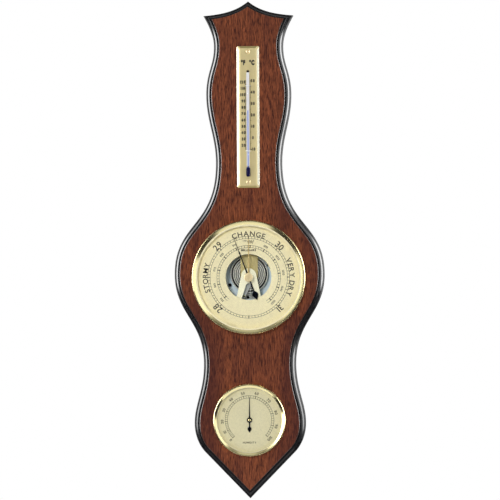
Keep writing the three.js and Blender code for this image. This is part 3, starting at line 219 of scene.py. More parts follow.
def mesh_piece(name, points, faces, caps=(), turn_out=True):
    """A mesh from points in millimetres and faces. Caps are arrays of point numbers for larger
    faces."""
    mesh = bpy.data.meshes.new(name)
    faces = np.asarray(faces).tolist() + [cap.tolist() for cap in caps]
    mesh.from_pydata((np.asarray(points, float).reshape(-1, 3) * MM).tolist(), [], faces)
    merged(mesh, turn_out)
    return new_object(name, mesh)


def capped(name, rings):
    """A closed body from rings of points, each joined to the next, with a flat face on the
    first and the last."""
    rings = np.asarray(rings, float)
    rows, count = rings.shape[:2]
    ends = [np.arange(count), (rows - 1) * count + np.arange(count)]
    return mesh_piece(name, rings, grid_faces(rows, count, wrap_columns=True), caps=ends)


def face_data(piece, kind):
    """The centres or normals of a piece's faces as rows of three numbers."""
    values = np.empty(len(piece.data.polygons) * 3)
    piece.data.polygons.foreach_get(kind, values)
    return values.reshape(-1, 3)


def paint(piece, choice):
    """Gives each face of a piece the number of its finish."""
    piece.data.polygons.foreach_set("material_index", choice.astype(np.int32))


def smooth(piece, degrees):
    """Smooth shading, with edges sharper than the angle kept crisp."""
    mesh = piece.data
    mesh.polygons.foreach_set("use_smooth", np.ones(len(mesh.polygons), bool))
    mesh.set_sharp_from_angle(angle=math.radians(degrees))


def baked(piece):
    """The piece with its modifiers or curve made into its mesh."""
    graph = bpy.context.evaluated_depsgraph_get()
    mesh = bpy.data.meshes.new_from_object(piece.evaluated_get(graph))
    mesh.name = piece.name
    if piece.type == "MESH":
        piece.modifiers.clear()
        piece.data = mesh
        return piece
    name, curve = piece.name, piece.data
    bpy.data.objects.remove(piece)
    bpy.data.curves.remove(curve)
    return new_object(name, mesh)


def cut(piece, cutters):
    """The piece with each cutter's space taken out of it."""
    for cutter in cutters:
        modifier = piece.modifiers.new("hole", "BOOLEAN")
        modifier.operation = "DIFFERENCE"
        modifier.solver = "EXACT"
        modifier.object = cutter
    piece = baked(piece)
    piece.data.materials.clear()
    for cutter in cutters:
        mesh = cutter.data
        bpy.data.objects.remove(cutter)
        bpy.data.meshes.remove(mesh)
    return piece


def rounded(profile, radius, steps=4):
    """A closed profile with each corner replaced by a curve that starts one radius before the
    corner and ends one radius after it: (1-t)^2 start + 2 t (1-t) corner + t^2 end. On a short
    side it takes up the largest share."""
    corner = np.asarray(profile, float)
    near = []
    for turn in (1, -1):
        side = np.roll(corner, turn, axis=0) - corner
        reach = np.linalg.norm(side, axis=1, keepdims=True)
        near.append(corner + side / reach * np.minimum(radius, LARGEST_SHARE * reach))
    start, end = near
    t = np.linspace(0, 1, steps + 1)[None, :, None]
    curve = (1 - t) ** 2 * start[:, None] + 2 * t * (1 - t) * corner[:, None] + t**2 * end[:, None]
    return curve.reshape(-1, 2)


def rectangle(corners, radius, steps=5):
    """A rectangle with rounded corners, from its lowest and highest corner."""
    (x0, z0), (x1, z1) = corners
    return rounded([(x0, z0), (x0, z1), (x1, z1), (x1, z0)], radius, steps)


def quarter(x, y, across, up, steps):
    """A quarter of an ellipse about x and y: from x + across at its side to y + up above it."""
    angle = np.linspace(0, np.pi / 2, steps)
    return np.column_stack([x + across * np.cos(angle), y + up * np.sin(angle)]).tolist()


def at_depth(flat, depth, height=0.0):
    """Points of x and z, raised by a height and set at a depth from the wall."""
    return np.column_stack([flat[:, 0], np.full(len(flat), -depth), flat[:, 1] + height])


def swept(profile, segments):
    """A profile carried round its axis: radius, the profile's other measure and angle, each as
    a grid with a row for every point of the profile."""
    radius, other = np.asarray(profile, float).T
    angle = np.linspace(0, 2 * np.pi, segments, endpoint=False)
    r, a = np.meshgrid(radius, angle, indexing="ij")
    return r, np.repeat(other[:, None], segments, axis=1), a


def turned(name, profile, height, segments, closed=True, wave=None):
    """A profile of radius and depth turned round the axis that points at the viewer: a point at
    angle a lies at x = r sin a, z = height + r cos a, y = minus its depth. A wave adds its own
    length to each radius, as a function of radius, depth and angle."""
    r, d, a = swept(profile, segments)
    if wave is not None:
        r = r + wave(r, d, a)
    points = np.stack([r * np.sin(a), -d, height + r * np.cos(a)], axis=-1)
    return mesh_piece(name, points, grid_faces(*r.shape, closed, True))


def turned_upright(name, profile, depth, segments):
    """A profile of radius and height, from the axis back to the axis, turned round an upright
    axis at a depth from the wall: a point at angle a lies at x = r cos a, y = r sin a - depth."""
    r, z, a = swept(profile, segments)
    points = np.stack([r * np.cos(a), r * np.sin(a) - depth, z], axis=-1)
    return mesh_piece(name, points, grid_faces(*r.shape, wrap_columns=True))


def washer(name, radii, ends, height, corner, segments):
    """A flat ring between two radii and two depths, with its corners rounded."""
    (bore, rim), (back, front) = radii, ends
    section = rounded([(bore, back), (rim, back), (rim, front), (bore, front)], corner, 2)
    return turned(name, section, height, segments)


def cylinder(height, radius, back, front, segments):
    """A closed cylinder towards the viewer, used to cut holes."""
    profile = [(0, back), (radius, back), (radius, front), (0, front)]
    return turned("cutter", profile, height, segments, closed=False)


def flat_plate(name, outlines, back, front, height, edge, turn=0):
    """A plate cut to closed outlines in x and z about a height, with a rounded edge. The first
    outline is its rim, and the others are holes. A turn in degrees swings it clockwise."""
    curve = bpy.data.curves.new(name, "CURVE")
    curve.dimensions = "2D"
    curve.fill_mode = "BOTH"
    for outline in outlines:
        points = np.asarray(outline, float)
        spline = curve.splines.new("POLY")
        spline.points.add(len(points) - 1)
        flat = np.column_stack([points, np.zeros(len(points)), np.ones(len(points))])
        spline.points.foreach_set("co", flat.ravel())
        spline.use_cyclic_u = True
    curve.extrude = (front - back) / 2 - edge
    curve.bevel_depth = edge
    curve.offset = -edge
    curve.bevel_resolution = 2
    piece = baked(new_object(name, curve))
    towards_viewer = Matrix(((1, 0, 0, 0), (0, 0, -1, 0), (0, 1, 0, 0), (0, 0, 0, 1)))
    place = Matrix.Translation((0, -(back + front) / 2 * MM, height * MM))
    spin = Matrix.Rotation(math.radians(turn), 4, "Y")
    piece.data.transform(place @ spin @ towards_viewer @ Matrix.Scale(MM, 4))
    merged(piece.data)
    return piece


def circle(radius, steps, x=0.0, z=0.0):
    """Points round a circle."""
    angle = np.linspace(0, 2 * np.pi, steps, endpoint=False)
    return np.column_stack([x + radius * np.sin(angle), z + radius * np.cos(angle)])


def bezier(points, count):
    """Cubic curve through its first and last point, pulled towards the two between:
    (1-t)^3 a + 3 (1-t)^2 t b + 3 (1-t) t^2 c + t^3 d."""
    a, b, c, d = np.asarray(points, float)
    t = np.linspace(0, 1, count)[:, None]
    return (1 - t) ** 3 * a + 3 * (1 - t) ** 2 * t * b + 3 * (1 - t) * t**2 * c + t**3 * d


def even_steps(points, count):
    """The same line with its points at even distances along it."""
    step = np.linalg.norm(np.diff(points, axis=0), axis=1)
    along = np.concatenate([[0], np.cumsum(step)])
    places = np.linspace(0, along[-1], count)
    return np.column_stack([np.interp(places, along, axis) for axis in points.T])


def tube_along(name, path, radius, segments=14):
    """A round wire along a flat path at one height: each ring stands square to the path, at
    p + r (cos a n + sin a z), with n the path's normal. Its ends are closed."""
    path = np.asarray(path, float)
    along = np.gradient(path, axis=0)
    along /= np.linalg.norm(along, axis=1, keepdims=True)
    normal = np.column_stack([-along[:, 1], along[:, 0], np.zeros(len(path))])
    angle = np.linspace(0, 2 * np.pi, segments, endpoint=False)
    ring = np.cos(angle)[None, :, None] * normal[:, None, :]
    ring = ring + np.sin(angle)[None, :, None] * np.array([0.0, 0.0, 1.0])
    return capped(name, path[:, None, :] + radius * ring)


# Printing

glyphs = {}
CAPITAL = 0.729  # height of a capital of the built-in font at size 1
WORD_SPACE = 0.42  # width of a space in heights of a capital


def glyph(letter, weight):
    """Points, triangles and width of one letter, with the height of a capital as 1."""
    if (letter, weight) in glyphs:
        return glyphs[letter, weight]
    curve = bpy.data.curves.new("glyph", "FONT")
    curve.body = letter
    curve.offset = weight
    curve.resolution_u = 4
    piece = baked(new_object("glyph", curve))
    mesh = piece.data
    points = np.empty(len(mesh.vertices) * 3)
    mesh.vertices.foreach_get("co", points)
    mesh.calc_loop_triangles()
    faces = np.empty(len(mesh.loop_triangles) * 3, int)
    mesh.loop_triangles.foreach_get("vertices", faces)
    bpy.data.objects.remove(piece)
    bpy.data.meshes.remove(mesh)
    flat = points.reshape(-1, 3)[:, :2] / CAPITAL
    left, right = flat[:, 0].min(), flat[:, 0].max()
    glyphs[letter, weight] = (flat - [left, 0], faces.reshape(-1, 3), right - left)
    return glyphs[letter, weight]


def word(text, height, weight=0.0, spacing=0.16, narrow=1.0, reach=None):
    """Letters side by side with their middle at 0: for each, its points about its own middle,
    its triangles and how far its middle stands along the line. A reach sets the spaces so that
    the word is that long."""
    letters, place = [], 0.0
    spaces = text.count(" ")
    if reach:
        inked = sum(glyph(letter, weight)[2] for letter in text if letter != " ") * narrow
        spacing = (reach / height - inked - WORD_SPACE * spaces) / (len(text) - 1 - spaces)
    for letter in text:
        if letter == " ":
            place += WORD_SPACE * height
            continue
        points, faces, width = glyph(letter, weight)
        size = np.array([height * narrow, height])
        letters.append([(points - [width / 2, 0.5]) * size, faces, place + width * size[0] / 2])
        place += width * size[0] + spacing * height
    total = place - spacing * height
    return [(points, faces, along - total / 2) for points, faces, along in letters]


def straight_text(text, x, z, height, **style):
    """A word on a level line with its middle at x and z."""
    return [(p + [x + along, z], f) for p, f, along in word(text, height, **style)]


def round_text(text, degrees, radius, height, **style):
    """A word along a circle with the tops of its letters outwards: a letter's middle stands at
    the angle of the word plus its distance along the line over the radius."""
    parts = []
    for points, faces, along in word(text, height, **style):
        angle = math.radians(degrees) + along / radius
        right = np.array([math.cos(angle), -math.sin(angle)])
        up = np.array([math.sin(angle), math.cos(angle)])
        parts.append((points[:, :1] * right + (points[:, 1:] + radius) * up, faces))
    return parts


def arc(radius, width, start=0.0, end=360.0, steps=240):
    """A line of a width along a circle, as a strip between two radii."""
    angle = np.radians(np.linspace(start, end, steps + 1))[:, None]
    reach = np.array([radius - width / 2, radius + width / 2])[None, :]
    points = np.stack([reach * np.sin(angle), reach * np.cos(angle)], axis=-1).reshape(-1, 2)
    a, b, c, d = grid_faces(steps + 1, 2).T
    faces = np.concatenate([np.column_stack([a, b, c]), np.column_stack([a, c, d])])
    return points, faces


def ticks(degrees, inner, outer, width):
    """Short lines from one radius to another, one at each angle."""
    angle = np.radians(np.atleast_1d(np.asarray(degrees, float)))
    up = np.column_stack([np.sin(angle), np.cos(angle)])
    across = np.column_stack([up[:, 1], -up[:, 0]]) * width / 2
    corners = [up * inner - across, up * outer - across, up * outer + across, up * inner + across]
    return quads(corners)


def bars(x, z, width, height):
    """Level bars with their middles at the given places."""
    x, z = np.broadcast_arrays(np.asarray(x, float), np.asarray(z, float))
    middle_points = np.column_stack([x.ravel(), z.ravel()])
    reach = [(-1, -1), (-1, 1), (1, 1), (1, -1)]
    return quads([middle_points + [u * width / 2, v * height / 2] for u, v in reach])


def quads(corners):
    """Points and triangles of four-cornered marks, given as four arrays of corners."""
    points = np.stack(corners, axis=1).reshape(-1, 2)
    first = np.arange(len(points) // 4) * 4
    faces = [[first, first + 1, first + 2], [first, first + 2, first + 3]]
    return points, np.concatenate([np.column_stack(face) for face in faces])


def printed(name, parts, height, depth):
    """One flat mesh of all the printed parts, facing the viewer at a depth from the wall."""
    pairs = []
    for part in parts:
        pairs += part if isinstance(part, list) else [part]
    starts = np.cumsum([0] + [len(points) for points, _ in pairs])
    points = np.concatenate([points for points, _ in pairs])
    faces = np.concatenate([faces + start for (_, faces), start in zip(pairs, starts)])
    place = at_depth(points, depth, height)
    a, b, c = place[faces[:, 0]], place[faces[:, 1]], place[faces[:, 2]]
    away = np.cross(b - a, c - a)[:, 1] > 0
    faces[away] = faces[away][:, ::-1]
    return mesh_piece(name, place, faces, turn_out=False)


# The board's outline: half width and drop below the peak, in millimetres

CORNER = (50.8, 16.2)
NECK = (39.1, 52.0)
SHOULDER = (48.0, 105.3)
WAIST = (37.4, 181.8)
HIP = (84.6, 307.4)
LOWER_WAIST = (52.0, 408.3)
BASE = (62.8, 474.9)
POINT = (50.5, 507.8)
TIP = (0.0, 560.0)
CORNER_PULL = 24.1  # how far the side's curve is pulled on from the corner
POINT_PULL = 4.9  # how far its last curve is pulled back from the point
EDGE_STEPS = 400
TOP_STEPS = 1200
SIDE_STEPS = 9000
CROSSING_STEPS = 500  # how much of the side is searched for its crossing with the top edge
TOP_EDGE_SHARE = 0.8  # the moulding's width along the top edge, as a share of the rest
ROUND_WIDTH = 5.3  # the moulding's section: a straight side with a quarter round above it
ROUND_HEIGHT = 5.9
SIDE_HEIGHT = 8.6
SIDE_DRAFT = 0.35
BEAD_TOP = SIDE_HEIGHT + ROUND_HEIGHT


def below(place, reach):
    """A place moved down by a reach."""
    return place[0], place[1] + reach


def board_edges():
    """The top edge and the side of the board's right half, as long lines of even steps."""
    lean = math.pi / 3
    leaving = (CORNER[0] - CORNER_PULL * math.cos(lean), CORNER[1] + CORNER_PULL * math.sin(lean))
    slope = np.subtract(TIP, POINT) / np.linalg.norm(np.subtract(TIP, POINT))
    arriving = np.subtract(POINT, slope * POINT_PULL)
    spans = [
        (CORNER, leaving, below(NECK, -4.5), NECK),
        (NECK, below(NECK, 19.5), below(SHOULDER, -24.9), SHOULDER),
        (SHOULDER, below(SHOULDER, 29.3), below(WAIST, -29.3), WAIST),
        (WAIST, below(WAIST, 72.4), below(HIP, -59), HIP),
        (HIP, below(HIP, 44.5), below(LOWER_WAIST, -48.8), LOWER_WAIST),
        (LOWER_WAIST, below(LOWER_WAIST, 29.7), below(BASE, -21.6), BASE),
        (BASE, below(BASE, 18.3), arriving, POINT),
    ]
    top = bezier([(0, 0), (14, 11.5), (30, 14.5), CORNER], EDGE_STEPS)
    side = [bezier(span, EDGE_STEPS)[:-1] for span in spans]
    side = np.concatenate([*side, np.linspace(POINT, TIP, EDGE_STEPS)])
    return even_steps(top, TOP_STEPS), even_steps(side, SIDE_STEPS)


TOP_EDGE, SIDE_EDGE = board_edges()


def inset_edge(edge, inset):
    """The edge moved square to itself into the board: each point plus the inset times the
    normal of its tangent."""
    along = np.gradient(edge, axis=0)
    along /= np.linalg.norm(along, axis=1, keepdims=True)
    return edge + inset * np.column_stack([-along[:, 1], along[:, 0]])


def outline_ring(inset, top_steps=44, side_steps=420):
    """The board's outline at an inset, clockwise from its peak, as x and z. The inset edges are
    trimmed at the axis and where they cross at the corner."""
    top, side = inset_edge(TOP_EDGE, inset * TOP_EDGE_SHARE), inset_edge(SIDE_EDGE, inset)
    if inset == 0:
        top_end, side_start = len(top) - 1, 0
    else:
        half = len(top) // 2
        late, early = top[half:], side[:CROSSING_STEPS]
        apart = np.linalg.norm(late[:, None] - early[None], axis=2)
        top_end, side_start = np.unravel_index(apart.argmin(), apart.shape)
        top_end += half
    top_start = int(np.argmax(top[:, 0] >= 0))
    side_end = len(side) - 1 - int(np.argmax(side[::-1, 0] >= 0))
    top = top[np.round(np.linspace(top_start, top_end, top_steps + 1)).astype(int)]
    side = side[np.round(np.linspace(side_start, side_end, side_steps + 1)).astype(int)]
    right = np.concatenate([top, side[1:]])
    right[0, 0] = right[-1, 0] = 0
    left = right[-2:0:-1] * [-1, 1]
    ring = np.concatenate([right, left])
    return np.column_stack([ring[:, 0], BOARD_TOP - ring[:, 1]])


def outline_body(name, profile):
    """A closed body whose rings follow the board's outline: one ring for each inset and depth of
    the profile, with a flat face on the first and the last."""
    return capped(name, [at_depth(outline_ring(inset), depth) for inset, depth in profile])


# Finishes

finishes = {}


def put(tree, kind, *values, **settings):
    """A new node in a tree with its settings. Its inputs take the values in their order: a
    socket is linked, a number, vector or colour is set, and None leaves an input as it is."""
    node = tree.nodes.new(kind)
    for name, setting in settings.items():
        setattr(node, name, setting)
    for socket, value in zip(node.inputs, values):
        if isinstance(value, bpy.types.NodeSocket):
            tree.links.new(value, socket)
        elif value is not None:
            plain = socket.type == "RGBA" and len(value) == 3
            socket.default_value = (*value, 1) if plain else value
    return node


class Finish:
    """A procedural material that is put together from its nodes and kept under its name."""

    def __init__(self, name, roughness, metallic=0.0, **constants):
        self.material = finishes[name] = bpy.data.materials.new(f"{name}_finish")
        self.material.use_nodes = True
        self.tree = self.material.node_tree
        self.shader = self.tree.nodes["Principled BSDF"]
        self.shader.inputs["Roughness"].default_value = roughness
        self.shader.inputs["Metallic"].default_value = metallic
        for socket, value in constants.items():
            self.shader.inputs[socket.replace("_", " ")].default_value = value

    def put(self, kind, *values, **settings):
        """A new node in this material."""
        return put(self.tree, kind, *values, **settings)

    def link(self, value, socket):
        """Lets a value drive one of the shader's sockets."""
        self.tree.links.new(value, self.shader.inputs[socket])

    def coordinates(self, scale=(1, 1, 1), height=0.0):
        """Object coordinates from a height in millimetres, scaled along each axis."""
        source = self.put("ShaderNodeTexCoord").outputs["Object"]
        mapping = self.put("ShaderNodeMapping", source)
        mapping.inputs["Scale"].default_value = scale
        mapping.inputs["Location"].default_value = (0, 0, -height * MM * scale[2])
        return mapping.outputs["Vector"]

    def axes(self, height=0.0):
        """The three object coordinates from a height in millimetres."""
        return self.put("ShaderNodeSeparateXYZ", self.coordinates(height=height)).outputs

    def noise(self, scale, detail=4.0, roughness=0.55):
        """Noise that is stretched by a scale for each axis, in repeats to the metre. One number
        stands for all three axes."""
        scale = (scale, scale, scale) if isinstance(scale, int) else scale
        values = (self.coordinates(scale), None, 1.0, detail, roughness)
        return self.put("ShaderNodeTexNoise", *values).outputs["Fac"]

    def rings(self, height, spacing):
        """Fine circles about an axis towards the viewer: noise over the distance from it."""
        vector = self.coordinates((1, 0, 1), height)
        distance = self.put("ShaderNodeVectorMath", vector, operation="LENGTH").outputs["Value"]
        values = (None, distance, 1 / (spacing * MM), 3.0)
        return self.put("ShaderNodeTexNoise", *values, noise_dimensions="1D").outputs["Fac"]

    def ramp(self, value, stops):
        """Colours by value, from pairs of place and colour."""
        node = self.put("ShaderNodeValToRGB", value)
        elements = node.color_ramp.elements
        for place, _ in stops[2:]:
            elements.new(place)
        for element, (place, tint) in zip(elements, stops):
            element.position = place
            element.color = (*tint, 1)
        return node.outputs["Color"]

    def mix(self, share, first, second, blend_type="MIX"):
        """Two colours mixed. Each, and the share, is a socket or a plain value."""
        values = (share, None, None, None, None, None, first, second)
        settings = {"data_type": "RGBA", "blend_type": blend_type}
        return self.put("ShaderNodeMix", *values, **settings).outputs[2]

    def span(self, value, low, high, start=0.0, end=1.0):
        """A value mapped from one span to another and held within it."""
        return self.put("ShaderNodeMapRange", value, start, end, low, high).outputs[0]

    def roughen(self, value, low, high):
        """Roughness that follows a value."""
        self.link(self.span(value, low, high), "Roughness")

    def bump(self, value, height):
        """Relief of a height in millimetres that follows a value."""
        node = self.put("ShaderNodeBump")
        node.inputs["Distance"].default_value = height * MM
        self.tree.links.new(value, node.inputs["Height"])
        self.link(node.outputs["Normal"], "Normal")


def tinted(tint, share=1.0):
    """A colour, or the scene's colour of that name, made lighter or darker by a share and held
    below white."""
    tint = getattr(colours(), tint) if isinstance(tint, str) else tint
    return tuple(min(1.0, c * share) for c in tint)


def mahogany(name):
    """Upright ribbon figure, fine grain and dark pores under a semi-gloss lacquer, darker
    towards the lower sides of the sheet."""
    made = Finish(name, 0.34, Specular_IOR_Level=0.1, Coat_Weight=0.03, Coat_Roughness=0.1)
    light, dark = colours().mahogany_light, colours().mahogany_dark
    middling = tuple(a * 0.42 + b * 0.58 for a, b in zip(light, dark))
    ribbon = made.noise((62, 62, 4), detail=2.0)
    grain = made.noise((780, 780, 50), detail=3.0, roughness=0.75)
    fibre = made.noise((1500, 1500, 110), detail=3.0, roughness=0.75)
    figure = made.mix(0.55, grain, fibre)
    wood = made.ramp(figure, [(0.42, dark), (0.59, light), (0.51, middling)])
    purple = (dark[0] * 1.3, dark[1] * 1.2, dark[2] * 1.6)
    shaded = made.mix(made.span(ribbon, 0.0, 0.5, 0.46, 0.64), wood, purple)
    x, _, z = made.axes()
    # The wood is darker towards the lower end and towards both sides of the sheet.
    lower = made.span(z, 0.75, 0.25, -410 * MM, -270 * MM)
    darker_wood = made.mix(lower, shaded, purple)
    left = made.span(x, 1.0, 0.0, -55 * MM, -22 * MM)
    right = made.span(x, 0.0, 1.0, 22 * MM, 55 * MM)
    shaded = made.mix(left, made.mix(right, shaded, darker_wood), darker_wood)
    holes = made.span(made.noise((1000, 1000, 105), detail=1.0), 0.0, 0.7, 0.56, 0.66)
    made.link(made.mix(holes, shaded, tinted(purple, 0.6)), "Base Color")
    made.roughen(grain, 0.26, 0.42)
    made.bump(grain, 0.05)


def black_lacquer(name):
    """Deep black lacquer, cloudy in its gloss and duller towards the lower end."""
    made = Finish(name, 0.3, Specular_IOR_Level=0.2, Coat_Roughness=0.08, Coat_IOR=1.68)
    height = made.axes()[2]
    made.link(made.span(height, 0.35, 1.0, -455 * MM, -330 * MM), "Coat Weight")
    cloud = made.noise(160)
    tint = made.mix(cloud, tinted("lacquer", 0.7), tinted("lacquer", 1.5))
    made.link(tint, "Base Color")
    made.roughen(cloud, 0.24, 0.38)
    made.bump(made.noise(700, detail=3.0), 0.01)


def back_wood(name):
    """Plain brown wood on the back of the board, sawn and stained."""
    made = Finish(name, 0.7)
    grain = made.noise((300, 300, 14), detail=6.0, roughness=0.7)
    broad = made.noise((55, 55, 5), detail=3.0)
    base = made.ramp(broad, [(0.3, (0.14, 0.075, 0.038)), (0.7, (0.24, 0.135, 0.07))])
    streaks = made.span(grain, 0.55, 0.0, 0.35, 0.6)
    made.link(made.mix(streaks, base, (0.07, 0.035, 0.02)), "Base Color")
    made.roughen(grain, 0.6, 0.8)
    made.bump(grain, 0.15)


def metal(name, tint, roughness, spread, scale=500, relief=0.008, metallic=1.0):
    """A metal with cloudy gloss and a fine brushing along the axis of its smallest scale."""
    made = Finish(name, roughness, metallic)
    brush = made.noise(scale, detail=5.0, roughness=0.7)
    shade = made.mix(0.5, brush, made.noise(70, detail=3.0))
    made.link(made.mix(shade, tinted(tint, 0.90), tinted(tint, 1.06)), "Base Color")
    made.roughen(shade, max(0.02, roughness - spread), roughness + spread)
    made.bump(brush, relief)
    return made


def zinc_steel(name):
    """Zinc plate with a cloudy, spangled gloss."""
    made = metal(name, "zinc", 0.36, 0.1, 300, metallic=0.5)
    source = made.put("ShaderNodeTexCoord").outputs["Object"]
    spangle = made.put("ShaderNodeTexVoronoi", source)
    spangle.inputs["Scale"].default_value = 260
    tint = made.mix(0.16, colours().zinc, spangle.outputs["Color"], "OVERLAY")
    made.link(tint, "Base Color")


def capsule_silver(name):
    """Bright sheet metal spun in fine circles."""
    made = Finish(name, 0.3, 0.45)
    spun = made.rings(CAPSULE_HEIGHT, 0.22)
    made.link(made.mix(spun, tinted("capsule", 0.82), tinted("capsule", 1.1)), "Base Color")
    made.roughen(spun, 0.2, 0.42)
    made.bump(spun, 0.03)


def capsule_groove(name):
    """Painted shade: near-black metal for the bottom of the capsule's outer groove and the troughs
    of its corrugations, where shade falls.
    """
    made = Finish(name, 0.5, 0.6)
    spun = made.rings(CAPSULE_HEIGHT, 0.2)
    made.link(made.mix(spun, (0.010, 0.010, 0.012), (0.04, 0.04, 0.04)), "Base Color")


def dial_sheet(name, tint, height):
    """Pale gold anodised sheet with very fine circles and a faint mottle."""
    made = Finish(name, 0.42, 0.12)
    spun = made.rings(height, 0.30)
    mottle = made.noise(420, roughness=0.6)
    shade = made.mix(0.65, spun, mottle)
    stops = [(0.3, tinted(tint, 0.90)), (0.7, tinted(tint, 1.09))]
    made.link(made.ramp(shade, stops), "Base Color")
    made.roughen(mottle, 0.36, 0.5)
    made.bump(spun, 0.004)


def speckled(
    name, roughness, scale, tints, detail=3.0, between=None, gloss=None, relief=None, **constants
):
    """A plain finish whose colour wanders between two tints, over the whole of a noise or
    between two of its values. Its roughness and a relief can follow the same noise."""
    made = Finish(name, roughness, **constants)
    speck = made.noise(scale, detail)
    low, high = tints
    if between:
        tint = made.ramp(speck, [(between[0], low), (between[1], high)])
    else:
        tint = made.mix(speck, low, high)
    made.link(tint, "Base Color")
    if gloss:
        made.roughen(speck, *gloss)
    if relief:
        made.bump(speck, relief)
    return made


def shades(name, property_name, low, high, **rest):
    """A speckled finish between a darker and a lighter shade of one of the scene's colours."""
    tints = (tinted(property_name, low), tinted(property_name, high))
    return speckled(name, tints=tints, **rest)


def blue_spirit(name):
    """Dyed spirit, deeper where it is thick in the bulb."""
    made = Finish(name, 0.4, Specular_IOR_Level=0.05)
    height = made.axes(extent("spirit_column")[0][2])[2]
    share = made.span(height, 0.0, 1.0, 9.4 * MM, 12.6 * MM)
    streak = made.noise((900, 900, 90), detail=2.0)
    column = made.mix(streak, tinted("spirit", 0.9), tinted("spirit", 1.15))
    made.link(made.mix(share, (0.008, 0.007, 0.045), column), "Base Color")


def clear_finish(name, tint, gloss, strength):
    """Thin clear glass: it lets the light through, and its outer faces add a share of their
    reflection by Fresnel."""
    made = Finish(name, 0.02)
    made.tree.nodes.remove(made.shader)
    clear = made.put("ShaderNodeBsdfTransparent", tint).outputs[0]
    smear = made.span(made.noise(60, detail=3.0), gloss * 0.6, gloss * 1.6)
    shine = made.put("ShaderNodeBsdfGlossy")
    made.tree.links.new(smear, shine.inputs["Roughness"])
    fresnel = made.put("ShaderNodeFresnel", 1.45).outputs[0]
    inner = made.put("ShaderNodeNewGeometry").outputs["Backfacing"]
    maths = partial(made.put, "ShaderNodeMath")
    outer = maths(1.0, inner, operation="SUBTRACT", use_clamp=True).outputs[0]
    share = maths(fresnel, outer, operation="MULTIPLY").outputs[0]
    share = maths(share, strength, operation="MULTIPLY").outputs[0]
    blend = made.put("ShaderNodeMixShader", share, clear, shine.outputs[0]).outputs[0]
    made.tree.links.new(blend, made.tree.nodes["Material Output"].inputs["Surface"])


FINISH_MAKERS = {
    # The board
    "mahogany": mahogany,
    "black_lacquer": black_lacquer,
    "back_wood": back_wood,
    # The thin glossy chamfer between moulding and face
    "fillet": partial(
        speckled, roughness=0.35, scale=(240, 240, 60), detail=4.0, between=(0.35, 0.65),
        tints=((0.030, 0.018, 0.014), (0.075, 0.05, 0.04)), relief=0.02,
        Coat_Weight=1.0, Coat_Roughness=0.12, Coat_IOR=1.55,
    ),
    # Bright lacquered brass, and the bezels' outer edges, a little duller than their slopes
    "polished_brass": partial(metal, tint="brass", roughness=0.13, spread=0.05),
    "rim_brass": partial(metal, tint="brass", roughness=0.27, spread=0.04),
    # Brass brushed upright, on the scale plate and the inner frames
    "satin_brass": partial(
        metal, tint="satin_brass", roughness=0.38, spread=0.06, scale=(1600, 1600, 60),
        relief=0.012, metallic=0.46,
    ),
    # The polished bevel round the scale plate, with a darker copy of it on the bevels at the
    # plate's two ends as painted shade
    "plate_bevel": partial(
        metal, tint=(0.72, 0.70, 0.56), roughness=0.22, spread=0.02, scale=900, relief=0.005
    ),
    "plate_end": partial(
        metal, tint=(0.50, 0.41, 0.18), roughness=0.34, spread=0.03, scale=900, relief=0.01
    ),
    # Turned brass of the knob, a little matt and rosy, and plain brass of the thin set hand
    "knob_brass": partial(
        metal, tint=(0.84, 0.69, 0.40), roughness=0.4, spread=0.06, scale=900, relief=0.01,
        metallic=0.35,
    ),
    "hand_brass": partial(
        metal, tint=(0.66, 0.50, 0.22), roughness=0.4, spread=0.05, scale=900, relief=0.01,
        metallic=0.3,
    ),
    # Olive brass with faint upright brushing
    "spring_brass": partial(
        metal, tint="spring", roughness=0.42, spread=0.08, scale=(900, 900, 60), relief=0.015,
        metallic=0.3,
    ),
    # Brushed steel of levers and shafts, and steel blued to a dark navy
    "grey_steel": partial(
        metal, tint="steel", roughness=0.4, spread=0.08, scale=(150, 900, 900), relief=0.012,
        metallic=0.3,
    ),
    "blued_steel": partial(metal, tint="blued", roughness=0.26, spread=0.06, scale=400),
    "zinc_steel": zinc_steel,
    # Bluish zinc of the movement's plates, paler and more matt than the cases' zinc: painted light
    # for the deep movement, where little light reaches
    "bright_zinc": partial(
        speckled, roughness=0.5, scale=260, detail=4.0, gloss=(0.4, 0.6),
        tints=((0.70, 0.84, 0.95), (0.84, 0.95, 1.0)),
    ),
    "capsule_silver": capsule_silver,
    "capsule_groove": capsule_groove,
    "dial_gold": partial(dial_sheet, tint="dial", height=DIAL_HEIGHT),
    "hygrometer_gold": partial(dial_sheet, tint="humidity_dial", height=HYGRO_HEIGHT),
    # Warm white moulded plastic
    "cream_plastic": partial(
        shades, property_name="bridge", low=0.94, high=1.04, roughness=0.45, scale=500,
        detail=4.0, gloss=(0.38, 0.52), relief=0.012, Specular_IOR_Level=0.2,
    ),
    # White enamelled wire
    "white_wire": partial(
        speckled, roughness=0.35, scale=800, relief=0.01,
        tints=((0.93, 0.93, 0.92), (1.0, 1.0, 1.0)),
    ),
    # White enamel behind the bore
    "tube_enamel": partial(
        shades, property_name="enamel", low=0.94, high=1.05, roughness=0.6,
        scale=(500, 500, 40), gloss=(0.55, 0.65), Specular_IOR_Level=0.2,
    ),
    "blue_spirit": blue_spirit,
    # Dark printing ink, a little thin in places, and fine print, which shows paler
    "ink": partial(
        shades, property_name="ink", low=0.8, high=2.0, roughness=0.55, scale=1400,
        between=(0.35, 0.7),
    ),
    "pale_ink": partial(
        speckled, roughness=0.55, scale=1400, between=(0.3, 0.7),
        tints=((0.07, 0.062, 0.035), (0.14, 0.125, 0.07)),
    ),
    # The two flat glasses and the thermometer's tube
    "clear_glass": partial(clear_finish, tint=(0.997, 1.0, 0.998), gloss=0.02, strength=0.7),
    "tube_glass": partial(clear_finish, tint=(0.99, 0.99, 1.0), gloss=0.04, strength=0.04),
}


def finish(name):
    """The named finish, made on its first use."""
    if name not in finishes:
        FINISH_MAKERS[name](name)
    return finishes[name]


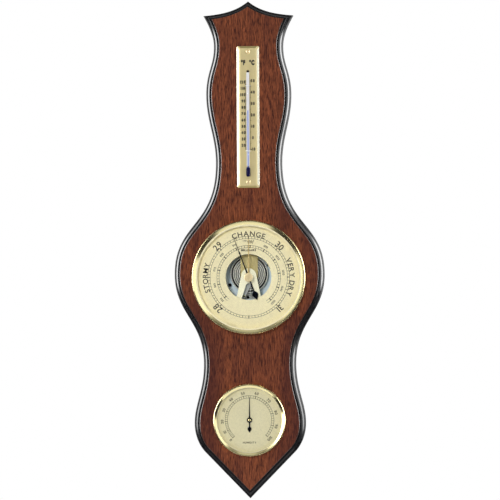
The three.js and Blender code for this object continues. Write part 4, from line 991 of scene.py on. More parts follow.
def dress(piece, materials, node, body="root", sharp=32):
    """Gives a piece its finish or finishes and smooth shading, hides the CAD node that it stands
    for if there is one, and puts the piece on its body, which is the node's own."""
    for name in [materials] if isinstance(materials, str) else materials:
        piece.data.materials.append(finish(name))
    smooth(piece, sharp)
    if node:
        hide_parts(node)
        body = BODY_OF[node]
    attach(piece, body)


def refinish(material, *nodes):
    """Gives carried-over CAD nodes a procedural finish."""
    for node in nodes:
        holder = frame["nodes"][node]
        for place in holder.material_slots:
            place.material = finish(material)
        if not holder.material_slots:
            holder.data.materials.append(finish(material))


# Operators

DIAL_HOLE = 52  # radius of the board's hole for the barometer's case
HYGRO_HOLE = 34  # radius of its hole for the hygrometer's case
BEHIND, BEFORE = -1, 30  # depths behind and before the whole board, for the tools that cut it
CLEARANCE = 0.04  # between a bezel's lip and its glass
BLADE = 0.4  # thickness of the hands


class BAROMETER_OT_board(bpy.types.Operator):
    """Build the moulded board and its mahogany face"""

    bl_idname = "barometer.board"
    bl_label = "Board"

    def execute(self, context):
        face = front_of("veneer_face")
        step = front_of("moulded_board")
        inset = sizes().moulding / MM
        quirk, lap = inset - 0.2, inset + 0.6
        angle = np.linspace(0, np.pi / 2, 15)
        across = SIDE_DRAFT + ROUND_WIDTH * (1 - np.cos(angle))
        bead = np.column_stack([across, SIDE_HEIGHT + ROUND_HEIGHT * np.sin(angle)]).tolist()
        start = [(0.5, 0), (0.1, 0.15), (0, 0.5), (SIDE_DRAFT * 0.5, SIDE_HEIGHT * 0.5)]
        fillet = [(quirk, BEAD_TOP), (quirk + 0.05, step - 0.1), (quirk + 0.15, step)]
        board = outline_body("moulded_board_piece", [*start, *bead, *fillet, (lap, step)])
        low, high = extent("hanger_bar")
        recess = np.array([[low[0] - 2.5, low[2] - 2.5], [high[0] + 2.5, high[2] + 2.5]])
        holes = [(DIAL_HEIGHT, DIAL_HOLE, 192), (HYGRO_HEIGHT, HYGRO_HOLE, 144)]
        cutters = [cylinder(z, radius, BEHIND, BEFORE, steps) for z, radius, steps in holes]
        height, radius, steps = tube_hole = (TUBE_TOP + 0.1, 1.5, 32)
        cutters.append(cylinder(height, radius, 12, BEFORE, steps))
        cutters.append(flat_plate("cutter", [rectangle(recess, 2)], -4, 3, 0, 0.01))
        board = cut(board, cutters)
        self.paint_board(board)
        dress(board, ("black_lacquer", "fillet", "back_wood"), "moulded_board")
        edge = [(inset, step), (inset, face - 0.24), (inset + 0.32, face - 0.02)]
        veneer = outline_body("mahogany_face", [*edge, (lap, face)])
        holes.append(tube_hole)
        cutters = [cylinder(z, radius, 10, BEFORE, steps) for z, radius, steps in holes]
        veneer = cut(veneer, cutters)
        facing = np.abs(face_data(veneer, "normal")[:, 1])
        paint(veneer, (facing > 0.3) & (facing < 0.9))
        dress(veneer, ("mahogany", "fillet"), "veneer_face")
        return {"FINISHED"}

    def paint_board(self, board):
        """Sets each face of the board to lacquer, fillet or bare back wood: the fillet lies
        inside the bead, and bare wood faces the wall or lines the holes."""
        x, y, z = face_data(board, "center").T / MM
        facing = face_data(board, "normal")[:, 1]
        in_dial = np.hypot(x, z - DIAL_HEIGHT) < DIAL_HOLE + 1
        in_hygro = np.hypot(x, z - HYGRO_HEIGHT) < HYGRO_HOLE + 1
        lining = (in_dial | in_hygro) & (np.abs(facing) < 0.5)
        inside_bead = -y > BEAD_TOP + 0.02
        paint(board, np.where((facing > 0.9) | lining, 2, np.where(inside_bead, 1, 0)))


class BAROMETER_OT_hanger(bpy.types.Operator):
    """Finish the sawtooth hanger and its screws on the back"""

    bl_idname = "barometer.hanger"
    bl_label = "Hanger"

    def execute(self, context):
        refinish("zinc_steel", "hanger_bar")
        refinish("polished_brass", "hanger_screw_left", "hanger_screw_right")
        return {"FINISHED"}


class BAROMETER_OT_scale_plate(bpy.types.Operator):
    """Build the bevelled brass plate behind the thermometer and its two domed pins"""

    bl_idname = "barometer.scale_plate"
    bl_label = "Scale plate"

    def execute(self, context):
        corner = np.array([half_width("thermometer_plate"), radius_of("thermometer_plate")])
        back, front = depths("thermometer_plate")
        foot, bend, flat, power = (0.16, back + 0.22), 2.4, 9.5, 5
        crown = flat - bend
        tilt = (front - foot[1]) / (crown / power + bend - foot[0])
        inset = np.linspace(bend, flat, 14)
        curve = front - tilt * crown / power * ((flat - inset) / crown) ** power
        profile = [(0.0, back), (0.0, back + 0.08), (0.06, back + 0.16), foot]
        profile += np.column_stack([inset, curve]).tolist()
        rings = []
        for inset, depth in profile:
            outline = rectangle([inset - corner, corner - inset], 1.8)
            rings.append(at_depth(outline, depth, PLATE_HEIGHT))
        plate = capped("scale_plate", rings)
        pins = ("plate_pin_top", "plate_pin_bottom")
        holes = [cylinder(TUBE_TOP + 0.1, 1.6, back - 1, front + 1, 32)]
        holes += [cylinder(middle(pin), 1.4, back - 1, front + 1, 24) for pin in pins]
        plate = cut(plate, holes)
        normal = np.abs(face_data(plate, "normal"))
        # Side bevels take the polished bevel, the end bevels its darker copy as painted shade, and
        # the front the satin brass.
        paint(plate, np.where(normal[:, 0] > normal[:, 2], 1, 2) * (normal[:, 1] < 0.955))
        used = ("satin_brass", "plate_bevel", "plate_end")
        dress(plate, used, "thermometer_plate", sharp=12)
        for node in pins:
            radius, (point, tip) = half_width(node), depths(node)
            angle = np.linspace(0, np.pi / 2, 9)
            rise = tip - front
            dome = np.column_stack([radius * np.sin(angle), front + rise * np.cos(angle)])
            shank = [(radius * 0.97, front), (1.1, front), (1.1, point + 1), (0, point)]
            pin = turned(f"domed_{node}", dome.tolist() + shank, middle(node), 40, closed=False)
            slot = rectangle([(-0.4, -radius - 1), (0.4, radius + 1)], 0.05, 1)
            pin = cut(pin, [flat_plate("cutter", [slot], tip - 0.85, tip + 1, middle(node), 0.01)])
            dress(pin, "knob_brass", node)
        return {"FINISHED"}


def bulb_profile(wide, narrow, bottom, neck, run):
    """A bulb's outline from its lowest point up to its neck: a round end of the wide radius, and
    a run over which the radius eases to the narrow one by 3 t^2 - 2 t^3."""
    angle = np.linspace(0, np.pi / 2, 9)
    end = np.column_stack([wide * np.sin(angle), bottom + wide * (1 - np.cos(angle))])
    t = np.linspace(0, 1, 9)
    ease = t * t * (3 - 2 * t)
    taper = np.column_stack([wide + (narrow - wide) * ease, neck - run + run * t])
    return end.tolist() + taper.tolist()


class BAROMETER_OT_thermometer(bpy.types.Operator):
    """Build the glass tube, its white enamel, the spirit and the wire clips"""

    bl_idname = "barometer.thermometer"
    bl_label = "Thermometer"

    def execute(self, context):
        low, high = extent("thermometer_tube")
        bottom, depth = low[2], -(low[1] + high[1]) / 2
        bulb, radius = half_width("thermometer_tube"), 2.0
        neck = bottom + 12.6
        shoulder = quarter(0, TUBE_TOP - 0.9, radius, 0.9, 9)[:-1:2]
        profile = bulb_profile(bulb, radius, bottom, neck, 3.0) + shoulder + [(0.0, TUBE_TOP)]
        tube = turned_upright("thermometer_glass", profile, depth, 40)
        dress(tube, "tube_glass", "thermometer_tube")
        dress(self.enamel(neck, depth, radius - 0.32), "tube_enamel", None)
        top, column = extent("spirit_column")[1][2], 0.5
        end = [(column, top - 0.5), (column * 0.7, top - 0.12), (0, top)]
        profile = bulb_profile(bulb - 0.42, column, bottom + 0.3, neck, 3.1) + end
        filling = turned_upright("spirit_filling", profile, depth, 32)
        dress(filling, "blue_spirit", "spirit_column")
        for node in ("tube_clip_top", "tube_clip_bottom"):
            wire = sizes().clip_wire / MM
            seat, reach = back_of(node), radius + wire + 0.03
            turn = np.linspace(0, np.pi, 25)
            over = np.column_stack([reach * np.cos(turn), -depth - reach * np.sin(turn)])
            legs = np.array([[reach + 0.25, -seat - 0.02], [reach + 0.05, -seat - 0.7]])
            flat = np.concatenate([legs, over, legs[::-1] * [-1, 1]])
            path = np.column_stack([flat, np.full(len(flat), middle(node))])
            clip = tube_along(f"wire_{node}", path, wire)
            dress(clip, "white_wire", node)
        return {"FINISHED"}

    def enamel(self, bottom, depth, radius):
        """The back half of a cylinder inside the tube, as a strip with a flat front: points at
        x = r cos a and y = r sin a for half a turn."""
        angle = np.linspace(0, np.pi, 17)
        ring = np.column_stack([radius * np.cos(angle), radius * np.sin(angle) * 0.9 - depth])
        heights = (bottom, TUBE_TOP - 1.2)
        rings = [np.column_stack([ring, np.full(len(ring), height)]) for height in heights]
        return capped("tube_enamel_strip", rings)


FAHRENHEIT_120 = BOARD_TOP - 91.6
PER_FAHRENHEIT = 0.710


def at_fahrenheit(value):
    """Height on the scale plate of a temperature in degrees Fahrenheit."""
    return FAHRENHEIT_120 - (120 - value) * PER_FAHRENHEIT


def at_celsius(value):
    """Height on the scale plate of a temperature in degrees Celsius."""
    return at_fahrenheit(32 + 1.8 * value)


class BAROMETER_OT_scale_print(bpy.types.Operator):
    """Print the degrees and ticks beside the thermometer"""

    bl_idname = "barometer.scale_print"
    bl_label = "Thermometer scale"

    def execute(self, context):
        size = sizes()
        degree, sign = size.degree / MM, size.unit_letter / MM
        style = {"weight": 0.075, "spacing": 0.2, "narrow": 0.8}
        parts = []
        for value in range(20, 121, 10):
            place = -5.1 if value < 100 else -5.8
            parts += straight_text(str(value), place, at_fahrenheit(value), degree, **style)
        for value in range(-10, 51, 10):
            parts += straight_text(str(value), 5.4, at_celsius(value), degree, **style)
        signs = BOARD_TOP - 69.7
        style = {"weight": 0.085, "spacing": 0.04, "narrow": 0.68}
        parts += straight_text("°F", -5.3, signs, sign, **style)
        parts += straight_text("°C", 4.5, signs, sign, **style)
        parts.append(bars(-2.75, at_fahrenheit(np.arange(14, 123, 2)), 1.4, 0.6))
        parts.append(bars(-2.8, at_fahrenheit(np.arange(20, 121, 10)), 1.5, 0.7))
        parts.append(bars(2.65, at_celsius(np.arange(-10, 51, 1)), 1.0, 0.5))
        parts.append(bars(2.8, at_celsius(np.arange(-10, 51, 5)), 1.3, 0.6))
        depth = front_of("thermometer_plate") + PRINT_LIFT
        dress(printed("thermometer_print", parts, 0, depth), "ink", None)
        return {"FINISHED"}


def bezel_profile(outer, crest, foot, bore, lip, back, front, lip_back, flange):
    """A bezel's section: a straight side, a quarter of an ellipse over its rim, a straight slope
    from the crest down to its foot, and a flat flange in to the lip, on the glass. Radii come
    first, then depths."""
    rise = 3.2
    dome = quarter(crest, front - rise, outer - crest, rise, 15)
    slope = [(crest - 0.35, front - 0.05), (foot + 0.15, flange + 0.04)]
    side = [(bore, back), (outer - 0.25, back), (outer, back + 0.25)]
    edge = [(foot, flange), (lip + 0.1, flange - 0.03), (lip, flange - 0.1), (lip, lip_back)]
    return side + dome + slope + edge + [(bore, lip_back)]


class BAROMETER_OT_bezels(bpy.types.Operator):
    """Turn the two rounded brass bezels and finish the rings inside them"""

    bl_idname = "barometer.bezels"
    bl_label = "Bezels"

    def execute(self, context):
        for name, height, crest, foot, lip, flange, segments in (
            ("barometer", DIAL_HEIGHT, 62.7, 59.0, 57.3, 0.25, 256),
            ("hygrometer", HYGRO_HEIGHT, 39.5, 36.7, 36.2, 0.16, 192),
        ):
            node, glass = f"{name}_bezel", f"{name}_glass"
            outer, (back, front) = radius_of(node), depths(node)
            bore, seat = radius_of(glass) + 0.3, front_of(glass) + CLEARANCE
            flange += seat
            profile = bezel_profile(outer, crest, foot, bore, lip, back, front, seat, flange)
            ring = turned(f"{name}_bezel_ring", profile, height, segments)
            centre = face_data(ring, "center") / MM
            reach = np.hypot(centre[:, 0], centre[:, 2] - height)
            paint(ring, np.where(reach < foot, 1, np.where(reach > crest + 0.25, 2, 0)))
            pale = "dial_gold" if name == "barometer" else "hygrometer_gold"
            used = ("polished_brass", pale, "rim_brass")
            dress(ring, used, node, sharp=12)
            refinish(pale, f"{name}_seat_ring")
        return {"FINISHED"}


class BAROMETER_OT_glasses(bpy.types.Operator):
    """Turn the two clear glasses"""

    bl_idname = "barometer.glasses"
    bl_label = "Glasses"

    def execute(self, context):
        panes = (("barometer", DIAL_HEIGHT, 1.5), ("hygrometer", HYGRO_HEIGHT, 0))
        for name, height, bore in panes:
            node = f"{name}_glass"
            radius, (back, front) = radius_of(node), depths(node)
            if bore:
                pane = washer(f"{name}_pane", (bore, radius), (back, front), height, 0.2, 160)
            else:
                rim = radius - 0.2
                profile = [(0, back), (rim, back), (radius, back + 0.2)]
                profile += [(radius, front - 0.2), (rim, front), (0, front)]
                pane = turned(f"{name}_pane", profile, height, 128, closed=False)
            dress(pane, "clear_glass", node)
        return {"FINISHED"}


class BAROMETER_OT_pressure_dial(bpy.types.Operator):
    """Build the barometer's dial and print its two scales"""

    bl_idname = "barometer.pressure_dial"
    bl_label = "Barometer dial"

    def execute(self, context):
        ends = depths("barometer_dial")
        radii = (25.4, radius_of("barometer_dial"))
        dial = washer("pressure_dial", radii, ends, DIAL_HEIGHT, 0.12, 256)
        dress(dial, "dial_gold", "barometer_dial", sharp=50)
        size = sizes()
        line, numeral, letter = size.line / MM, size.numeral / MM, size.word / MM
        bold = []
        for step, value in enumerate(("28", "29", "30", "31")):
            angle = -135 + 90 * step
            bold += round_text(value, angle, 49.6, numeral, weight=0.012, spacing=0.16)
        for text, angle, reach in (("STORMY", -90.6, 34), ("CHANGE", 0, 38), ("VERY DRY", 90, 44)):
            style = {"weight": 0.014, "narrow": 1.06, "reach": reach}
            bold += round_text(text, angle, 49.0, letter, **style)
        bold.append(ticks(np.arange(-180, 180, 45), 42.9, 46.2, 0.85))
        # A thin dark line along the left and top of the opening's edge: a painted shadow, printed
        # in ink.
        bold.append(arc(25.7, 0.45, -145, 70))
        self.put_on("pressure_print", bold, ends[1])
        rail, inner, outer = line * 1.2, 43.4, 45.8
        fine = [arc(outer, rail), arc(inner, rail)]
        fine.append(ticks(np.arange(-180, 180, 4.5), inner, outer, line * 1.1))
        fine.append(ticks(np.arange(-180, 180, 9), 43.2, 45.9, line * 1.4))
        per_ten, inner, outer = 26.58, 33.2, 35.7
        marks = 3 + per_ten * np.arange(-5, 6)
        start, end = marks[0] - 8, marks[-1] + 8
        fine += [arc(outer, rail, start, end), arc(inner, rail, start, end)]
        fifths = np.arange(marks[0], marks[-1] + 1, per_ten / 5)
        fine.append(ticks(fifths, inner, outer, rail))
        fine.append(ticks(marks, 32.7, 36.1, 1.0))
        small = size.pressure_numeral / MM
        style = {"weight": 0.02, "spacing": 0.16, "narrow": 0.85}
        for place, mark in enumerate(marks):
            fine += round_text(str(950 + 10 * place), mark, 39.3, small, **style)
        fine += straight_text("INCHES", 0, 41.0, 1.9, weight=0.02, reach=12.3)
        fine += straight_text("MILLIBARS", 0, 30.4, 2.2, weight=0.055, reach=16.5)
        self.put_on("pressure_fine_print", fine, ends[1])
        return {"FINISHED"}

    def put_on(self, name, parts, front):
        """Prints the parts on the dial, whose front is at a depth."""
        sheet = printed(name, parts, DIAL_HEIGHT, front + PRINT_LIFT)
        dress(sheet, "ink", None)


WAVES_START, WAVES_END, WAVES = 2.6, 17.9, 7


def corrugation(radius):
    """How far a radius lies over the capsule's corrugations, from 0 to 1, and the cosine of
    their waves there."""
    share = (radius - WAVES_START) / (WAVES_END - WAVES_START)
    return share, np.cos(share * WAVES * 2 * np.pi)


class BAROMETER_OT_capsule(bpy.types.Operator):
    """Turn the front half of the vacuum capsule with its groove and corrugations"""

    bl_idname = "barometer.capsule"
    bl_label = "Capsule"

    def execute(self, context):
        centre, radius = middle("capsule_upper"), radius_of("capsule_upper")
        back, top = depths("capsule_upper")
        face = back + 2.3
        along = np.linspace(WAVES_START, WAVES_END, 116)
        share, crest = corrugation(along)
        skin = np.column_stack([along, face + 0.32 * (crest - 1) * np.clip(share * 6, 0, 1)])
        groove = [(18.3, face - 0.1), (18.62, face - 0.7), (18.8, face - 1.35)]
        groove += [(19.8, face - 1.35), (19.98, face - 0.75), (20.25, face - 0.12)]
        rim = [(20.6, face), (21.0, face - 0.12), (21.25, face - 0.5), (radius, face - 1.2)]
        inside = [(radius, back), (20.2, back), (19.6, face - 1.8), (18.4, face - 1.8)]
        inside += [(17.6, face - 1.1), (0, face - 1.1)]
        post = [(0, top), (1.3, top), (1.5, top - 0.2), (1.5, face + 0.3), (1.9, face)]
        profile = post + skin.tolist() + groove + rim + inside
        piece = turned("capsule_face", profile, centre, 160, closed=False)
        # The groove's bottom and the corrugations' troughs get painted shade.
        self.darken(piece, centre)
        dress(piece, ("capsule_silver", "capsule_groove"), "capsule_upper")
        refinish("capsule_silver", "capsule_lower")
        return {"FINISHED"}

    def darken(self, piece, centre):
        """Gives the faces of groove and troughs the near-black finish of painted shade, by their
        distance from the axis."""
        x, _, z = face_data(piece, "center").T / MM
        radius = np.hypot(x, z - centre)
        trough = (corrugation(radius)[1] < -0.55) & (radius > 4) & (radius < WAVES_END)
        groove = (radius > 18.2) & (radius < 20.3)
        paint(piece, groove | trough)


class BAROMETER_OT_main_spring(bpy.types.Operator):
    """Cut the leaf spring that holds the capsule open"""

    bl_idname = "barometer.main_spring"
    bl_label = "Main spring"

    def execute(self, context):
        low, high = extent("main_spring")
        half, bottom, top = high[0], low[2] - DIAL_HEIGHT, high[2] - DIAL_HEIGHT
        lower, narrow = bottom + half * 0.3, half * 0.75
        right = [(half, top), (half, lower), (narrow, bottom)]
        left = [(-narrow, bottom), (-half, lower)]
        outline = rounded([(-half, top), *right, *left], 2.0)
        holes = [circle(2.1, 32, 0, 3.5), circle(1.2, 20, -5.5, 35.6), circle(1.2, 20, 5.5, 35.6)]
        ends = depths("main_spring")
        leaf = flat_plate("leaf_spring", [outline, *holes], *ends, DIAL_HEIGHT, 0.16)
        dress(leaf, "spring_brass", "main_spring")
        return {"FINISHED"}


def arch(half, top, steps):
    """Half a circle under its top from left to right, with its half width as the radius."""
    angle = np.radians(np.linspace(-90, 90, steps))
    return np.column_stack([half * np.sin(angle), top - half + half * np.cos(angle)])


class BAROMETER_OT_bridge(bpy.types.Operator):
    """Cut the arched plastic bridge in front of the movement"""

    bl_idname = "barometer.bridge"
    bl_label = "Bridge"

    def execute(self, context):
        low, high = extent("pointer_bridge")
        half, foot, top = high[0], low[2] - DIAL_HEIGHT, high[2] - DIAL_HEIGHT
        corners = [(half, foot + 2.2), (half - 0.6, foot + 0.7), (half - 2.2, foot)]
        mirrored = [(-x, z) for x, z in corners[::-1]]
        outline = np.concatenate([arch(8.6, top, 41), corners, mirrored])
        lintel = arch(3.7, -6.8, 21)
        sill = rounded([lintel[-1], (9.1, -26.6), (-9.1, -26.6), lintel[0]], 1.4)
        opening = np.concatenate([lintel, sill[3:-3]])
        holes = [circle(1.3, 20, side * 12, -28.8) for side in (-1, 1)] + [circle(1.0, 24)]
        outlines, ends = [outline, opening, *holes], depths("pointer_bridge")
        piece = flat_plate("arched_bridge", outlines, *ends, DIAL_HEIGHT, 0.38)
        dress(piece, "cream_plastic", "pointer_bridge", sharp=60)
        return {"FINISHED"}


CAD_FINISHES = {
    "zinc_steel": "barometer_case hygrometer_case",
    # The movement's plates take the paler zinc of painted light.
    "bright_zinc": "dial_support_ring movement_plate lower_cock",
    "grey_steel": "capsule_pin spring_bracket lever_arm rocker_shaft pointer_arbor rocker_bracket",
    "blued_steel": "movement_screw_left movement_screw_right movement_screw_lower"
    " spring_screw_left spring_screw_right bridge_screw_left bridge_screw_right"
    " rocker_bracket_screw hairspring",
    "satin_brass": "hairspring_stud bridge_pillar_left bridge_pillar_right"
    " bridge_spacer_left bridge_spacer_right hygrometer_frame",
    "polished_brass": "adjusting_screw link_rod set_hand_washer",
    "spring_brass": "hygrometer_coil",
}


class BAROMETER_OT_movement(bpy.types.Operator):
    """Finish the cases and the working parts that keep their CAD shape"""

    bl_idname = "barometer.movement"
    bl_label = "Cases and movement"

    def execute(self, context):
        for material, nodes in CAD_FINISHES.items():
            refinish(material, *nodes.split())
        self.pull_chain()
        return {"FINISHED"}

    def pull_chain(self):
        """The fine chain from the rocker's arm up to the drum: a round bar whose radius swells
        and narrows with |cos(pi n t)| along it, for n links."""
        low, high = extent("chain")
        x, y = (low[:2] + high[:2]) / 2
        half = half_width("chain")
        links, steps, sides = 24, 8, 8
        share = np.linspace(0, 1, links * steps + 1)
        radius = half * (0.6 + 0.4 * np.abs(np.cos(np.pi * links * share)))
        height = low[2] + (high[2] - low[2]) * share
        r, z, a = swept(np.column_stack([radius, height]), sides)
        rings = np.stack([x + r * np.cos(a), y + r * np.sin(a), z], axis=-1)
        piece = capped("pull_chain", rings)
        piece.data.materials.append(finish("grey_steel"))
        smooth(piece, 32)
        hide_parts("chain")
        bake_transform(piece)


def hand_blade(name, node, right, height, edge, turn=0):
    """The flat blade of a hand about its axis at a height, from the right half of its outline,
    which runs from tip to tail."""
    right, back = np.asarray(right, float), back_of(node)
    outline = np.concatenate([right, right[::-1] * [-1, 1]])
    return flat_plate(name, [outline], back, back + BLADE, height, edge, turn)


class BAROMETER_OT_pressure_hand(bpy.types.Operator):
    """Cut the blued pointer with its crescent tail"""

    bl_idname = "barometer.pressure_hand"
    bl_label = "Pointer"

    def execute(self, context):
        back, front = depths("indicating_hand")
        swell = bezier([(0.34, 31.5), (0.4, 30.2), (0.8, 29.8), (0.85, 28.6)], 7)
        waist = bezier([(0.85, 28.6), (0.8, 27.6), (0.5, 27.4), (0.5, 26.4)], 7)
        stem = [(0.85, 4.0), (0.85, -4.0), (0.65, -16.0)]
        fin = bezier([(0.65, -16.6), (1.4, -17.4), (3.4, -18.6), (3.4, -21.0)], 9)
        close = bezier([(3.4, -21.0), (3.0, -22.8), (1.0, -25.0), (0.15, -27.4)], 9)
        right = [(0.12, 49.0), (0.26, 40.0), *swell, *waist[1:], *stem, *fin, *close[1:]]
        blade = hand_blade("pointer_blade", "indicating_hand", right, DIAL_HEIGHT, 0.06, -20.5)
        dress(blade, "blued_steel", "indicating_hand", sharp=60)
        hub = [(0.9, back), (3.3, back), (3.4, back + 0.1)]
        hub += [(3.4, front - 0.15), (3.25, front), (0.9, front)]
        boss = turned("pointer_hub", hub, DIAL_HEIGHT, 48)
        dress(boss, "blued_steel", None, body="hand")
        return {"FINISHED"}


class BAROMETER_OT_set_hand(bpy.types.Operator):
    """Cut the brass set hand and turn its fluted knob"""

    bl_idname = "barometer.set_hand"
    bl_label = "Set hand and knob"

    def execute(self, context):
        back, front = depths("set_hand")
        right = [(0.15, 43.0), (0.35, 41.5), (0.9, 3.0), (1.0, 1.5), (1.0, 0.0)]
        blade = hand_blade("set_hand_blade", "set_hand", right, DIAL_HEIGHT, 0.08)
        dress(blade, "hand_brass", "set_hand")
        collar = back_of("barometer_glass") - 0.3
        shaft = [(0, back), (2.3, back), (2.4, back + 0.1), (2.4, collar)]
        shaft += [(1.2, collar), (1.2, front), (0, front)]
        post = turned("set_hand_shaft", shaft, DIAL_HEIGHT, 40, closed=False)
        dress(post, "polished_brass", None, body="marker")
        radius, (back, front) = radius_of("set_hand_knob"), depths("set_hand_knob")
        inner = radius - 0.9
        side = [(1.5, back), (radius - 0.5, back), (radius - 0.1, back + 0.3)]
        side += [(radius, back + 0.7), (radius, front - 1.4), (radius - 0.12, front - 1.0)]
        side.append((radius - 0.5, front - 0.55))
        t = np.linspace(0, 1, 9)
        dome = np.column_stack([inner * (1 - t), front - 0.4 * (1 - t) ** 2]).tolist()
        profile = [(1.5, front - 1.1), *side, *dome, (0, front - 1.1)]

        count, cut_depth = 48, 0.09

        def flutes(r, d, a):
            """Shallow flutes round the knob's side: minus c (1 + cos n a) for n flutes."""
            on_side = (r > radius - 0.2) & (d > back + 0.5) & (d < front - 1.2)
            return np.where(on_side, -cut_depth * (1 + np.cos(count * a)), 0)

        knob = turned("fluted_knob", profile, DIAL_HEIGHT, 384, closed=False, wave=flutes)
        dress(knob, "knob_brass", "set_hand_knob")
        return {"FINISHED"}


def humidity_angle(percent):
    """Angle in degrees of a humidity on the small dial, whose divisions widen towards its end:
    a start, a share of t, a share of t squared and a little of sin 2 pi (t - 1/2)."""
    t = np.asarray(percent, float) / 100
    return -136.5 + 220.6 * t + 48.8 * t**2 + 3.2 * np.sin(2 * np.pi * (t - 0.5))


class BAROMETER_OT_humidity_dial(bpy.types.Operator):
    """Build the hygrometer's dial and print its scale"""

    bl_idname = "barometer.humidity_dial"
    bl_label = "Hygrometer dial"

    def execute(self, context):
        ends, radii = depths("hygrometer_dial"), (0.9, radius_of("hygrometer_dial"))
        dial = washer("humidity_dial", radii, ends, HYGRO_HEIGHT, 0.1, 192)
        dress(dial, "hygrometer_gold", "hygrometer_dial", sharp=50)
        line, height = sizes().line / MM, sizes().humidity_numeral / MM
        start, end = humidity_angle(0), humidity_angle(100)
        rail, inner, outer = line * 1.3, 24.7, 27.4
        parts = [arc(outer, rail, start, end), arc(inner, rail, start, end)]
        parts.append(ticks(humidity_angle(np.arange(0, 101, 2)), inner, outer, rail))
        parts.append(ticks(humidity_angle(np.arange(0, 101, 10)), 24.5, 28.0, 0.7))
        for value in range(0, 101, 10):
            angle = float(humidity_angle(value))
            parts += round_text(str(value), angle, 30.9, height, weight=0.03, spacing=0.12)
        parts += straight_text("HUMIDITY", 0, -25.2, 2.1, weight=0.035, reach=15.2)
        sheet = printed("humidity_print", parts, HYGRO_HEIGHT, ends[1] + PRINT_LIFT)
        dress(sheet, "pale_ink", None)
        return {"FINISHED"}


class BAROMETER_OT_humidity_hand(bpy.types.Operator):
    """Cut the hygrometer's hand with its spade tail, and turn its hub and arbor"""

    bl_idname = "barometer.humidity_hand"
    bl_label = "Hygrometer hand"

    def execute(self, context):
        back, front = depths("hygrometer_hand")
        spade = bezier([(0.7, -7.6), (1.3, -7.9), (2.4, -8.6), (2.15, -10.4)], 9)
        close = bezier([(2.15, -10.4), (1.9, -11.8), (0.7, -12.6), (0.1, -14.0)], 9)
        right = [(0.1, 26.0), (0.3, 24.0), (0.7, 2.0), (0.7, -2.0), *spade, *close[1:]]
        blade = hand_blade("humidity_hand_blade", "hygrometer_hand", right, HYGRO_HEIGHT, 0.06)
        dress(blade, "blued_steel", "hygrometer_hand", sharp=60)
        hub = washer("humidity_hand_hub", (1.7, 3.0), (back, front), HYGRO_HEIGHT, 0.15, 48)
        dress(hub, "blued_steel", None, body="hygrometer_pointer")
        back, tip = depths("hygrometer_arbor")
        coil_back, coil_front = depths("hygrometer_coil")
        dial = front_of("hygrometer_dial") + 0.3
        shaft = [(0, back), (0.6, back), (0.6, coil_back), (1.75, coil_back)]
        shaft += [(1.75, coil_front), (0.6, coil_front), (0.6, dial), (1.4, dial)]
        profile = shaft + quarter(0, tip - 0.5, 1.4, 0.5, 7)[:-1] + [(0, tip)]
        arbor = turned("humidity_arbor", profile, HYGRO_HEIGHT, 40, closed=False)
        dress(arbor, "polished_brass", "hygrometer_arbor")
        return {"FINISHED"}


# Light: the level of the strips and of the far rim that glossy surfaces see, and the share of
# the light on matt surfaces that comes from the large lamp

STRIP_LEVEL = 9.5
RIM_LEVEL = 0.6
WINDOW_SHARE = 0.5


